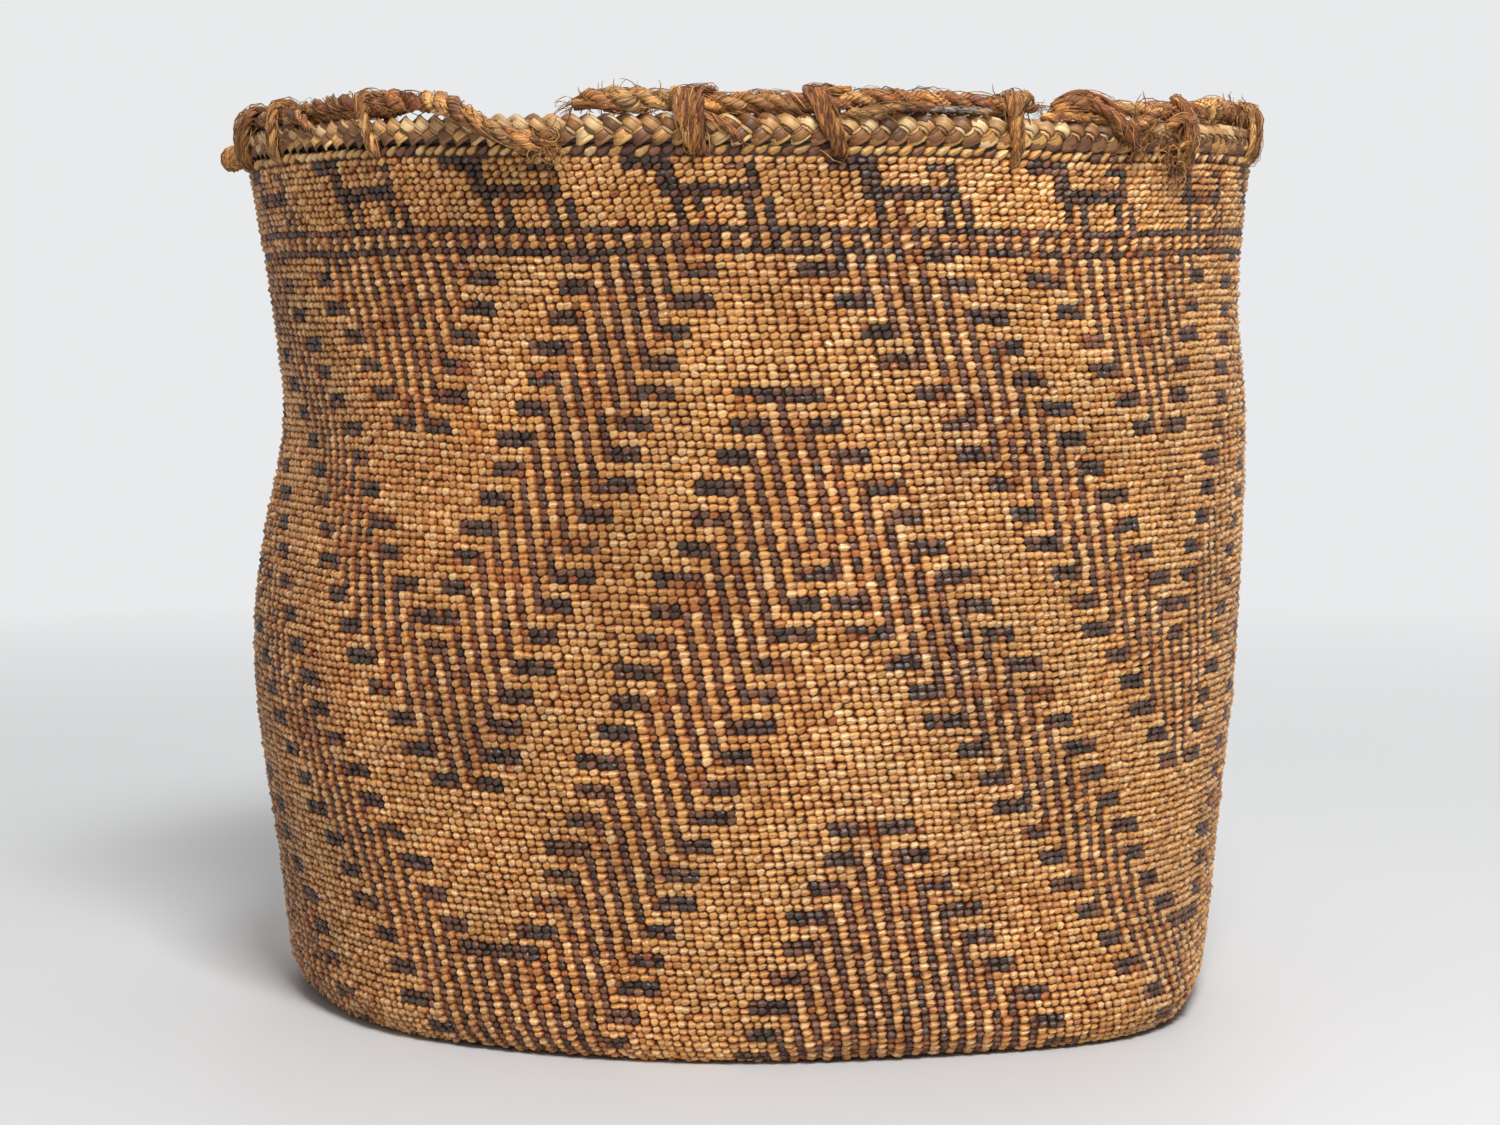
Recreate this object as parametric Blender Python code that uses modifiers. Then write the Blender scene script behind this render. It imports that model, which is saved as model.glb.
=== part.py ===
"""Storage basket: twined base and wall, three-strand braided rim, laced cord and its ties."""

import math

import bmesh
import bpy
from mathutils import Vector

# The wall, measured to its outer face

RIM_RADIUS = 0.1645
WALL_TALL = 0.2658
WALL_THICK = 0.0040
WALL_TURN_STEPS = 60
WALL_OUTER_STEPS = 13
WALL_INNER_STEPS = 8

# Height as a share of WALL_TALL, then radius as a share of RIM_RADIUS
LEFT_SIDE_SHARES = (
    (0.000, 0.914),
    (0.155, 0.943),
    (0.352, 0.985),
    (0.450, 0.989),
    (0.549, 0.972),
    (0.696, 0.928),
    (0.844, 0.948),
    (0.965, 0.978),
    (1.040, 1.000),
)
RIGHT_SIDE_SHARES = (
    (0.000, 0.904),
    (0.106, 0.930),
    (0.254, 0.953),
    (0.401, 0.976),
    (0.696, 0.992),
    (0.844, 0.974),
    (0.965, 0.986),
    (1.040, 1.000),
)

# Dents in the soft wall: degrees to the right of the front and half spread in degrees, with
# height and half height as shares of WALL_TALL, and depth as a share of RIM_RADIUS
DENT_SHARES = (
    (-62.0, 13.0, 0.62, 0.110, 0.021),
    (-38.0, 16.0, 0.84, 0.085, 0.012),
    (-12.0, 15.0, 0.57, 0.190, 0.011),
    (28.0, 14.0, 0.78, 0.100, -0.011),
    (46.0, 16.0, 0.40, 0.130, 0.016),
    (12.0, 18.0, 0.23, 0.115, -0.010),
    (118.0, 20.0, 0.49, 0.170, 0.018),
    (170.0, 22.0, 0.72, 0.150, 0.016),
    (-130.0, 20.0, 0.38, 0.170, 0.017),
    (48.0, 19.0, 0.00, 0.120, -0.096),
    (-46.0, 14.0, 0.00, 0.080, -0.022),
)

# Waves of the edge: degrees, half spread in degrees, rise as a share of WALL_TALL
EDGE_WAVE_SHARES = (
    (-84.0, 22.0, -0.0076),
    (38.0, 12.0, -0.0045),
    (-40.0, 14.0, 0.0023),
    (150.0, 30.0, -0.0038),
)

# The turn from wall to base, and the slanted seam where they meet
CONTACT_RADIUS = 0.1430
CORNER_TALL = 0.0120
CORNER_STEPS = 4
BASE_THICK = 0.0045
BASE_UNDER_RADIUS = 0.1150
SEAM_SLANT = 0.0040
BASE_OVER_RADIUS = BASE_UNDER_RADIUS + SEAM_SLANT
CLEARANCE = 0.0003

# The heavier row between the wall and the braid
ROW_TALL = 0.0030
ROW_THICK = 0.0046
ROW_LIP_SHARE = 0.5

# The braid: three flat strands that cross over and under one another
BRAID_STRANDS = 3
BRAID_PERIODS = 60
BRAID_STEPS = 6
BRAID_HALF_TALL = 0.0032
BRAID_HALF_DEEP = 0.0020
LEAF_HALF_WIDE = 0.0017
LEAF_HALF_THICK = 0.0010
BRAID_REACH = BRAID_HALF_TALL + LEAF_HALF_WIDE
ROW_TOP = WALL_TALL + CLEARANCE + ROW_TALL
BRAID_CENTRE = ROW_TOP + CLEARANCE + BRAID_REACH

# The lacing cord, and how high it lies when it rests on the braid
CORD_RADIUS = 0.0023
CORD_STEPS = 2
CORD_BEVEL_STEPS = 2
SEAT = BRAID_REACH + CLEARANCE + CORD_RADIUS

# Ties: closed loops round braid and cord that go through holes in the wall
TIE_RADIUS = 0.0013
TIE_BEVEL_STEPS = 1
TIE_POINTS = 14
TIE_SQUARENESS = 4.0
TIE_REACH = BRAID_HALF_DEEP + LEAF_HALF_THICK + CLEARANCE + TIE_RADIUS
TIE_TOP = SEAT + CORD_RADIUS + CLEARANCE + TIE_RADIUS
TIE_DROP = 0.0124
TIE_HOLE_RADIUS = TIE_RADIUS + 2.0 * CLEARANCE
TIE_HOLE_SIDES = 12
TIE_HOLE_OVERRUN = 0.0020
TIE_DEGREES = (
    -78.5,
    -74.0,
    -62.0,
    -43.0,
    -5.5,
    8.0,
    28.0,
    53.5,
    74.0,
    80.0,
    98.0,
    122.0,
    144.0,
    161.0,
    190.0,
    215.0,
    232.0,
    258.0,
)

# Where the cord is bundled or knotted: degrees, half spread in degrees, swell as a share of its radius
CORD_SWELL_SHARES = (
    (-39.8, 1.6, 0.45),
    (-32.0, 4.0, 0.35),
    (-12.5, 3.0, 0.60),
    (30.2, 1.0, 0.35),
    (37.0, 2.5, 0.30),
    (63.0, 3.5, 0.30),
)

# Routes of the cord's lengths: degrees, outward and upward from the braid's centre
CORDS = {
    "lacing_cord_left": (
        (-71.0, 0.0, SEAT),
        (-62.0, 0.0, SEAT),
        (-57.5, -0.0004, 0.0080),
        (-52.0, -0.0006, 0.0090),
        (-47.0, -0.0004, 0.0092),
        (-43.0, 0.0, SEAT),
        (-38.5, 0.0002, 0.0084),
        (-34.0, 0.0016, 0.0084),
        (-30.5, 0.0060, 0.0062),
        (-27.0, 0.0068, 0.0014),
        (-23.5, 0.0068, -0.0024),
        (-20.5, 0.0068, -0.0046),
    ),
    "lacing_cord_front": (
        (-18.0, 0.0002, 0.0077),
        (-15.5, 0.0002, 0.0090),
        (-12.5, 0.0002, 0.0084),
        (-9.5, 0.0, 0.0086),
        (-7.0, 0.0, SEAT),
        (-4.0, 0.0, SEAT),
        (-1.5, -0.0004, 0.0080),
        (1.5, -0.0004, 0.0082),
        (8.0, 0.0, SEAT),
        (12.0, -0.0012, 0.0092),
        (17.0, -0.0016, 0.0090),
        (22.5, -0.0014, 0.0088),
        (28.0, 0.0, SEAT),
        (31.0, -0.0004, 0.0086),
    ),
    "lacing_cord_right": (
        (33.4, -0.0002, 0.0078),
        (34.8, 0.0, 0.0094),
        (36.8, 0.0002, 0.0104),
        (39.2, 0.0004, 0.0098),
        (41.8, 0.0002, 0.0082),
        (48.0, 0.0, 0.0078),
        (53.5, 0.0, SEAT),
        (57.0, -0.0004, 0.0084),
        (62.5, -0.0006, 0.0096),
        (67.0, -0.0006, 0.0094),
        (70.5, -0.0004, 0.0084),
        (74.0, 0.0, SEAT),
        (84.0, 0.0, SEAT),
    ),
    "lacing_cord_rear_right": (
        (91.0, 0.0, SEAT),
        (98.0, 0.0, SEAT),
        (106.0, -0.0004, 0.0092),
        (114.0, -0.0004, 0.0086),
        (122.0, 0.0, SEAT),
        (130.0, -0.0004, 0.0104),
        (137.0, -0.0004, 0.0090),
        (144.0, 0.0, SEAT),
        (150.0, 0.0, SEAT),
    ),
    "lacing_cord_rear": (
        (155.0, 0.0, SEAT),
        (161.0, 0.0, SEAT),
        (169.0, -0.0004, 0.0086),
        (176.0, -0.0002, 0.0112),
        (183.0, -0.0004, 0.0086),
        (190.0, 0.0, SEAT),
        (198.0, -0.0004, 0.0090),
        (207.0, -0.0004, 0.0084),
        (215.0, 0.0, SEAT),
        (221.0, 0.0, SEAT),
    ),
    "lacing_cord_rear_left": (
        (226.0, 0.0, SEAT),
        (232.0, 0.0, SEAT),
        (241.0, -0.0004, 0.0094),
        (250.0, -0.0004, 0.0086),
        (258.0, 0.0, SEAT),
        (267.0, -0.0004, 0.0088),
        (276.0, 0.0, SEAT),
        (287.0, 0.0, SEAT),
    ),
}
GREY_CORD_RADIUS = 0.0007
GREY_CORD = (
    (15.0, 0.0014, 0.0068),
    (18.0, 0.0015, 0.0063),
    (22.0, 0.0016, 0.0062),
    (25.5, 0.0019, 0.0060),
)

# Colours and roughness
STRAW = (0.52, 0.33, 0.12, 1.0)
ROW_STRAW = (0.56, 0.37, 0.15, 1.0)
STRAW_ROUGH = 0.55
LEAF_PALE = (0.50, 0.32, 0.16, 1.0)
LEAF_BROWN = (0.30, 0.17, 0.09, 1.0)
LEAF_GOLD = (0.55, 0.36, 0.13, 1.0)
LEAF_ROUGH = 0.45
BARK = (0.36, 0.19, 0.09, 1.0)
BARK_ROUGH = 0.80
GREY = (0.42, 0.36, 0.30, 1.0)

MERGE = 0.00001
TURN = 2.0 * math.pi


# The basket's shape


def smooth_value(points, x):
    """Read a smooth curve through points of (place, value), flat past its two ends."""
    if x <= points[0][0]:
        return points[0][1]
    if x >= points[-1][0]:
        return points[-1][1]
    last = len(points) - 1
    n = 0
    while points[n + 1][0] < x:
        n += 1

    def slope(k):
        low = points[max(k - 1, 0)]
        high = points[min(k + 1, last)]
        return (high[1] - low[1]) / (high[0] - low[0])

    (x0, y0), (x1, y1) = points[n], points[n + 1]
    span = x1 - x0
    t = (x - x0) / span
    s = 1.0 - t
    start = y0 * s * s * (1.0 + 2.0 * t) + slope(n) * span * t * s * s
    end = y1 * t * t * (1.0 + 2.0 * s) - slope(n + 1) * span * t * t * s
    return start + end


def bump(a, degrees, half_degrees):
    """A round bump, 1 at its own place round the basket and nothing far from it."""
    apart = (math.degrees(a) - degrees + 180.0) % 360.0 - 180.0
    return math.exp(-((apart / half_degrees) ** 2))


def turned_radius(z):
    """Radius of the wall's outer face before it is pressed out of round."""
    share = z / WALL_TALL
    sides = smooth_value(LEFT_SIDE_SHARES, share) + smooth_value(RIGHT_SIDE_SHARES, share)
    radius = RIM_RADIUS * sides / 2.0
    if z < CORNER_TALL:
        t = 1.0 - max(z, 0.0) / CORNER_TALL
        radius = CONTACT_RADIUS + (radius - CONTACT_RADIUS) * math.sqrt(1.0 - t * t)
    return radius


def pressed(a, z):
    """How far the wall is pushed out at an angle to the right of the front and a height."""
    share = z / WALL_TALL
    sides = smooth_value(RIGHT_SIDE_SHARES, share) - smooth_value(LEFT_SIDE_SHARES, share)
    push = sides / 2.0 * math.sin(a)
    for degrees, half_degrees, height, half_height, depth in DENT_SHARES:
        push -= depth * bump(a, degrees, half_degrees) * math.exp(-(((share - height) / half_height) ** 2))
    return RIM_RADIUS * push


def edge_rise(a):
    return WALL_TALL * sum(rise * bump(a, degrees, half) for degrees, half, rise in EDGE_WAVE_SHARES)


def wall_middle(a, z):
    """Radius of the middle of the wall's thickness, carried on upwards past its top."""
    return turned_radius(z) + pressed(a, z) - WALL_THICK / 2.0


def place(a, radius, z):
    """A point from its angle to the right of the front, its radius and its height."""
    return Vector((radius * math.sin(a), -radius * math.cos(a), z))


def rim_point(degrees, out, up):
    """A point measured outward from the wall's middle and upward from the braid's centre."""
    a = math.radians(degrees)
    z = BRAID_CENTRE + up
    return place(a, wall_middle(a, min(z, BRAID_CENTRE)) + out, z + edge_rise(a))


# Making objects


def material(name, colour, rough):
    made = bpy.data.materials.new(name)
    made.use_nodes = True
    shader = made.node_tree.nodes["Principled BSDF"]
    shader.inputs["Base Color"].default_value = colour
    shader.inputs["Roughness"].default_value = rough
    made.diffuse_color = colour
    return made


def collection(name):
    made = bpy.data.collections.new(name)
    bpy.context.scene.collection.children.link(made)
    return made


def add_object(name, data, group, surface=None):
    made = bpy.data.objects.new(name, data)
    if surface:
        data.materials.append(surface)
    group.objects.link(made)
    return made


def hide_guide(guide):
    guide.hide_render = True
    guide.display_type = "WIRE"


def applied(made):
    """Give an object its evaluated mesh in place of its modifiers."""
    graph = bpy.context.evaluated_depsgraph_get()
    mesh = bpy.data.meshes.new_from_object(made.evaluated_get(graph))
    made.modifiers.clear()
    made.data = mesh
    return mesh


def turned(name, outline, group, surface):
    """A closed outline of (radius, height) turned once round, top to bottom on its outer side."""
    mesh = bpy.data.meshes.new(name)
    count = len(outline)
    corners = [(radius, 0.0, z) for radius, z in outline]
    mesh.from_pydata(corners, [(n, (n + 1) % count) for n in range(count)], [])
    made = add_object(name, mesh, group, surface)
    screw = made.modifiers.new("turn", "SCREW")
    screw.axis = "Z"
    screw.steps = WALL_TURN_STEPS
    screw.render_steps = WALL_TURN_STEPS
    screw.use_merge_vertices = True
    screw.merge_threshold = MERGE
    screw.use_smooth_shade = True
    applied(made)
    return made


def pressed_share(radius):
    """How much of the push reaches a radius: none at the base's edge, all from the corner outwards."""
    seam = BASE_OVER_RADIUS + CLEARANCE
    return min(1.0, max(0.0, (radius - seam) / (CONTACT_RADIUS - seam)))


def press_out_of_round(made):
    """Push a turned body into the basket's real shape, and wave its upper part with the edge."""
    for vertex in made.data.vertices:
        x, y, z = vertex.co
        a = math.atan2(x, -y)
        radius = math.hypot(x, y)
        share = z / WALL_TALL
        radius += pressed(a, z) * pressed_share(radius)
        vertex.co = place(a, radius, z + edge_rise(a) * share * share)


def curve(name, points, closed, swells=()):
    made = bpy.data.curves.new(name, "CURVE")
    made.dimensions = "3D"
    spline = made.splines.new("POLY")
    spline.points.add(len(points) - 1)
    for point, co in zip(spline.points, points):
        point.co = (*co, 1.0)
    for point, swell in zip(spline.points, swells):
        point.radius = swell
    spline.use_cyclic_u = closed
    spline.use_smooth = True
    return made


def tube(name, points, radius, bevel_steps, closed, group, surface, swells=()):
    made = curve(name, points, closed, swells)
    made.bevel_depth = radius
    made.bevel_resolution = bevel_steps
    made.use_fill_caps = not closed
    return add_object(name, made, group, surface)


# Sub-parts


def base(group):
    """A flat disc with its edge slanted out over the wall's turned-in edge."""
    mesh = bpy.data.meshes.new("base")
    work = bmesh.new()
    bmesh.ops.create_cone(
        work,
        cap_ends=True,
        segments=WALL_TURN_STEPS,
        radius1=BASE_UNDER_RADIUS,
        radius2=BASE_OVER_RADIUS,
        depth=BASE_THICK,
    )
    work.to_mesh(mesh)
    work.free()
    made = add_object("base", mesh, group, material("twined_base", STRAW, STRAW_ROUGH))
    made.location.z = BASE_THICK / 2.0


def wall_outline():
    """The wall's cut shape: down its outside, in under the corner and back up its inside."""
    outline = []
    for n in range(WALL_OUTER_STEPS):
        z = WALL_TALL + (CORNER_TALL - WALL_TALL) * n / WALL_OUTER_STEPS
        outline.append((turned_radius(z), z))
    for n in range(CORNER_STEPS):
        z = CORNER_TALL * (1.0 - n / CORNER_STEPS) ** 2
        outline.append((turned_radius(z), z))
    outline.append((CONTACT_RADIUS, 0.0))
    outline.append((BASE_UNDER_RADIUS + CLEARANCE, 0.0))
    outline.append((BASE_OVER_RADIUS + CLEARANCE, BASE_THICK))
    inner_foot = CORNER_TALL + WALL_THICK
    foot_radius = turned_radius(inner_foot) - WALL_THICK
    for n in range(CORNER_STEPS):
        turn = TURN / 4.0 * n / CORNER_STEPS
        radius = CONTACT_RADIUS + (foot_radius - CONTACT_RADIUS) * math.sin(turn)
        outline.append((radius, BASE_THICK + (inner_foot - BASE_THICK) * (1.0 - math.cos(turn))))
    for n in range(WALL_INNER_STEPS + 1):
        z = inner_foot + (WALL_TALL - inner_foot) * n / WALL_INNER_STEPS
        outline.append((turned_radius(z) - WALL_THICK, z))
    return outline


def tie_hole(index, degrees, cutters):
    """A round cutter through the wall where a tie passes."""
    mesh = bpy.data.meshes.new("tie_hole")
    work = bmesh.new()
    bmesh.ops.create_cone(
        work,
        cap_ends=True,
        segments=TIE_HOLE_SIDES,
        radius1=TIE_HOLE_RADIUS,
        radius2=TIE_HOLE_RADIUS,
        depth=WALL_THICK + 2.0 * TIE_HOLE_OVERRUN,
    )
    work.to_mesh(mesh)
    work.free()
    cutter = add_object(f"tie_hole_{index + 1:02d}", mesh, cutters)
    cutter.location = rim_point(degrees, 0.0, -TIE_DROP)
    cutter.rotation_euler = (TURN / 4.0, 0.0, math.radians(degrees))
    hide_guide(cutter)


def wall(group, cutters):
    made = turned("wall", wall_outline(), group, material("twined_wall", STRAW, STRAW_ROUGH))
    press_out_of_round(made)
    for index, degrees in enumerate(TIE_DEGREES):
        tie_hole(index, degrees, cutters)
    cut = made.modifiers.new("tie_holes", "BOOLEAN")
    cut.operation = "DIFFERENCE"
    cut.solver = "EXACT"
    cut.operand_type = "COLLECTION"
    cut.collection = cutters


def rim_row(group):
    """The heavier row that the braid sits on."""
    low = WALL_TALL + CLEARANCE
    middle = (low + ROW_TOP) / 2.0
    centre = wall_middle(0.0, ROW_TOP) - pressed(0.0, ROW_TOP)
    belly = ROW_THICK / 2.0
    lip = belly * ROW_LIP_SHARE
    outline = (
        (centre + lip, ROW_TOP),
        (centre + belly, middle),
        (centre + lip, low),
        (centre - lip, low),
        (centre - belly, middle),
        (centre - lip, ROW_TOP),
    )
    made = turned("rim_row", outline, group, material("twined_rim_row", ROW_STRAW, STRAW_ROUGH))
    press_out_of_round(made)


def leaf_section(cutters):
    """The flat four-cornered section that every braid strand has along its length."""
    corners = (
        (LEAF_HALF_THICK, 0.0, 0.0),
        (0.0, -LEAF_HALF_WIDE, 0.0),
        (-LEAF_HALF_THICK, 0.0, 0.0),
        (0.0, LEAF_HALF_WIDE, 0.0),
    )
    section = add_object("leaf_section", curve("leaf_section", corners, True), cutters)
    section.data.dimensions = "2D"
    hide_guide(section)
    return section


def braid_strand(index, section, group, surface):
    """One strand of the braid, round the whole rim and back to its own start."""
    steps = BRAID_PERIODS * BRAID_STEPS
    points = []
    for n in range(steps):
        a = TURN * (n + 0.5) / steps
        phase = BRAID_PERIODS * a + TURN * index / BRAID_STRANDS
        out = -BRAID_HALF_DEEP * math.sin(2.0 * phase)
        up = BRAID_HALF_TALL * math.sin(phase)
        points.append(place(a, wall_middle(a, BRAID_CENTRE) + out, BRAID_CENTRE + edge_rise(a) + up))
    strand = curve(f"braid_strand_{index + 1}", points, True)
    strand.twist_mode = "Z_UP"
    strand.bevel_mode = "OBJECT"
    strand.bevel_object = section
    add_object(f"braid_strand_{index + 1}", strand, group, surface)


def cord_swell(degrees):
    """How much thicker the cord is at an angle, as a share of its radius."""
    a = math.radians(degrees)
    return sum(share * bump(a, middle, half) for middle, half, share in CORD_SWELL_SHARES)


def cord_points(route):
    """Points along a smooth curve through a cord's route, lifted by its swells, and its thickness at each."""
    outs = [(degrees, out) for degrees, out, up in route]
    ups = [(degrees, up) for degrees, out, up in route]
    points = []
    swells = []
    for n in range(CORD_STEPS * (len(route) - 1) + 1):
        k = min(n // CORD_STEPS, len(route) - 2)
        low = route[k][0]
        high = route[k + 1][0]
        degrees = low + (high - low) * (n / CORD_STEPS - k)
        swell = cord_swell(degrees)
        up = smooth_value(ups, degrees) + CORD_RADIUS * swell
        points.append(rim_point(degrees, smooth_value(outs, degrees), up))
        swells.append(1.0 + swell)
    return points, swells


def tie_points(degrees):
    """A squarish closed loop round the braid and cord, level where it crosses the wall."""
    middle = (TIE_TOP - TIE_DROP) / 2.0
    half = (TIE_TOP + TIE_DROP) / 2.0
    points = []
    for n in range(TIE_POINTS):
        turn = TURN * n / TIE_POINTS
        out = math.copysign(abs(math.cos(turn)) ** (2.0 / TIE_SQUARENESS), math.cos(turn))
        up = math.copysign(abs(math.sin(turn)) ** (2.0 / TIE_SQUARENESS), math.sin(turn))
        points.append(rim_point(degrees, TIE_REACH * out, middle + half * up))
    return points


def build():
    for old in list(bpy.data.objects):
        bpy.data.objects.remove(old, do_unlink=True)
    group = collection("storage_basket")
    cutters = collection("tie_hole_cutters")
    guides = collection("guides")
    base(group)
    wall(group, cutters)
    rim_row(group)
    section = leaf_section(guides)
    for index, colour in enumerate((LEAF_PALE, LEAF_BROWN, LEAF_GOLD)):
        surface = material(f"plaited_leaf_{index + 1}", colour, LEAF_ROUGH)
        braid_strand(index, section, group, surface)
    for name, route in CORDS.items():
        surface = material(name, BARK, BARK_ROUGH)
        points, swells = cord_points(route)
        tube(name, points, CORD_RADIUS, CORD_BEVEL_STEPS, False, group, surface, swells)
    surface = material("thin_grey_cord", GREY, BARK_ROUGH)
    points, swells = cord_points(GREY_CORD)
    tube("thin_grey_cord", points, GREY_CORD_RADIUS, CORD_BEVEL_STEPS, False, group, surface, swells)
    for index, degrees in enumerate(TIE_DEGREES):
        name = f"cord_tie_{index + 1:02d}"
        surface = material(name, BARK, BARK_ROUGH)
        tube(name, tie_points(degrees), TIE_RADIUS, TIE_BEVEL_STEPS, True, group, surface)


build()
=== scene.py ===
import math
import random

import bpy
from mathutils import Matrix, Vector, noise


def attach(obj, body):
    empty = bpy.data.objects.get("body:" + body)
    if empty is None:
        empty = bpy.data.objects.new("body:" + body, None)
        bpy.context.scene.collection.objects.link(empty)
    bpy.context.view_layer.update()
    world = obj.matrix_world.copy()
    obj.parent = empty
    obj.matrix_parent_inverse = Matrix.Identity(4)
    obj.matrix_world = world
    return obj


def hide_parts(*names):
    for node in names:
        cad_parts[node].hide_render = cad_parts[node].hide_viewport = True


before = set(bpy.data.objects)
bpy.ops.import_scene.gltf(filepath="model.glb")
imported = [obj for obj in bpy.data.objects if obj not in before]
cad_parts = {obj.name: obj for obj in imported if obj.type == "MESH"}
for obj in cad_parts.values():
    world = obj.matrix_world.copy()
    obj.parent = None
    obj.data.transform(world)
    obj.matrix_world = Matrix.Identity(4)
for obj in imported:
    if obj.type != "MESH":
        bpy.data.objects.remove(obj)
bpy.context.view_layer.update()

# The basket's shape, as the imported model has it

RIM_RADIUS = 0.1645
WALL_TALL = 0.2658
WALL_THICK = 0.0040
LEFT_SIDE_SHARES = (
    (0.000, 0.914),
    (0.155, 0.943),
    (0.352, 0.985),
    (0.450, 0.989),
    (0.549, 0.972),
    (0.696, 0.928),
    (0.844, 0.948),
    (0.965, 0.978),
    (1.040, 1.000),
)
RIGHT_SIDE_SHARES = (
    (0.000, 0.904),
    (0.106, 0.930),
    (0.254, 0.953),
    (0.401, 0.976),
    (0.696, 0.992),
    (0.844, 0.974),
    (0.965, 0.986),
    (1.040, 1.000),
)
DENT_SHARES = (
    (-62.0, 13.0, 0.62, 0.110, 0.021),
    (-38.0, 16.0, 0.84, 0.085, 0.012),
    (-12.0, 15.0, 0.57, 0.190, 0.011),
    (28.0, 14.0, 0.78, 0.100, -0.011),
    (46.0, 16.0, 0.40, 0.130, 0.016),
    (12.0, 18.0, 0.23, 0.115, -0.010),
    (118.0, 20.0, 0.49, 0.170, 0.018),
    (170.0, 22.0, 0.72, 0.150, 0.016),
    (-130.0, 20.0, 0.38, 0.170, 0.017),
    (48.0, 19.0, 0.00, 0.120, -0.096),
    (-46.0, 14.0, 0.00, 0.080, -0.022),
)
EDGE_WAVE_SHARES = (
    (-84.0, 22.0, -0.0076),
    (38.0, 12.0, -0.0045),
    (-40.0, 14.0, 0.0023),
    (150.0, 30.0, -0.0038),
)
CONTACT_RADIUS = 0.1430
CORNER_TALL = 0.0120
BASE_THICK = 0.0045
BASE_OVER_RADIUS = 0.1190
CLEARANCE = 0.0003
ROW_TALL = 0.0030
BRAID_STRANDS = 3
BRAID_PERIODS = 60
BRAID_REACH = 0.0049
ROW_TOP = WALL_TALL + CLEARANCE + ROW_TALL
BRAID_CENTRE = ROW_TOP + CLEARANCE + BRAID_REACH
CORD_RADIUS = 0.0023
SEAT = BRAID_REACH + CLEARANCE + CORD_RADIUS
TIE_RADIUS = 0.0013
TIE_TOP = SEAT + CORD_RADIUS + CLEARANCE + TIE_RADIUS
TIE_DEGREES = (
    -78.5,
    -74.0,
    -62.0,
    -43.0,
    -5.5,
    8.0,
    28.0,
    53.5,
    74.0,
    80.0,
    98.0,
    122.0,
    144.0,
    161.0,
    190.0,
    215.0,
    232.0,
    258.0,
)
CORD_SWELL_SHARES = (
    (-39.8, 1.6, 0.45),
    (-32.0, 4.0, 0.35),
    (-12.5, 3.0, 0.60),
    (30.2, 1.0, 0.35),
    (37.0, 2.5, 0.30),
    (63.0, 3.5, 0.30),
)
CORDS = {
    "lacing_cord_left": (
        (-71.0, 0.0, SEAT),
        (-62.0, 0.0, SEAT),
        (-57.5, -0.0004, 0.0080),
        (-52.0, -0.0006, 0.0090),
        (-47.0, -0.0004, 0.0092),
        (-43.0, 0.0, SEAT),
        (-38.5, 0.0002, 0.0084),
        (-34.0, 0.0016, 0.0084),
        (-30.5, 0.0060, 0.0062),
        (-27.0, 0.0068, 0.0014),
        (-23.5, 0.0068, -0.0024),
        (-20.5, 0.0068, -0.0046),
    ),
    "lacing_cord_front": (
        (-18.0, 0.0002, 0.0077),
        (-15.5, 0.0002, 0.0090),
        (-12.5, 0.0002, 0.0084),
        (-9.5, 0.0, 0.0086),
        (-7.0, 0.0, SEAT),
        (-4.0, 0.0, SEAT),
        (-1.5, -0.0004, 0.0080),
        (1.5, -0.0004, 0.0082),
        (8.0, 0.0, SEAT),
        (12.0, -0.0012, 0.0092),
        (17.0, -0.0016, 0.0090),
        (22.5, -0.0014, 0.0088),
        (28.0, 0.0, SEAT),
        (31.0, -0.0004, 0.0086),
    ),
    "lacing_cord_right": (
        (33.4, -0.0002, 0.0078),
        (34.8, 0.0, 0.0094),
        (36.8, 0.0002, 0.0104),
        (39.2, 0.0004, 0.0098),
        (41.8, 0.0002, 0.0082),
        (48.0, 0.0, 0.0078),
        (53.5, 0.0, SEAT),
        (57.0, -0.0004, 0.0084),
        (62.5, -0.0006, 0.0096),
        (67.0, -0.0006, 0.0094),
        (70.5, -0.0004, 0.0084),
        (74.0, 0.0, SEAT),
        (84.0, 0.0, SEAT),
    ),
    "lacing_cord_rear_right": (
        (91.0, 0.0, SEAT),
        (98.0, 0.0, SEAT),
        (106.0, -0.0004, 0.0092),
        (114.0, -0.0004, 0.0086),
        (122.0, 0.0, SEAT),
        (130.0, -0.0004, 0.0104),
        (137.0, -0.0004, 0.0090),
        (144.0, 0.0, SEAT),
        (150.0, 0.0, SEAT),
    ),
    "lacing_cord_rear": (
        (155.0, 0.0, SEAT),
        (161.0, 0.0, SEAT),
        (169.0, -0.0004, 0.0086),
        (176.0, -0.0002, 0.0112),
        (183.0, -0.0004, 0.0086),
        (190.0, 0.0, SEAT),
        (198.0, -0.0004, 0.0090),
        (207.0, -0.0004, 0.0084),
        (215.0, 0.0, SEAT),
        (221.0, 0.0, SEAT),
    ),
    "lacing_cord_rear_left": (
        (226.0, 0.0, SEAT),
        (232.0, 0.0, SEAT),
        (241.0, -0.0004, 0.0094),
        (250.0, -0.0004, 0.0086),
        (258.0, 0.0, SEAT),
        (267.0, -0.0004, 0.0088),
        (276.0, 0.0, SEAT),
        (287.0, 0.0, SEAT),
    ),
}
GREY_CORD_RADIUS = 0.0007
GREY_CORD = (
    (15.0, 0.0014, 0.0068),
    (18.0, 0.0015, 0.0063),
    (22.0, 0.0016, 0.0062),
    (25.5, 0.0019, 0.0060),
)
TURN = 2.0 * math.pi

# The twining: columns round the basket, rows down it, and how each stitch lies

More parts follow.
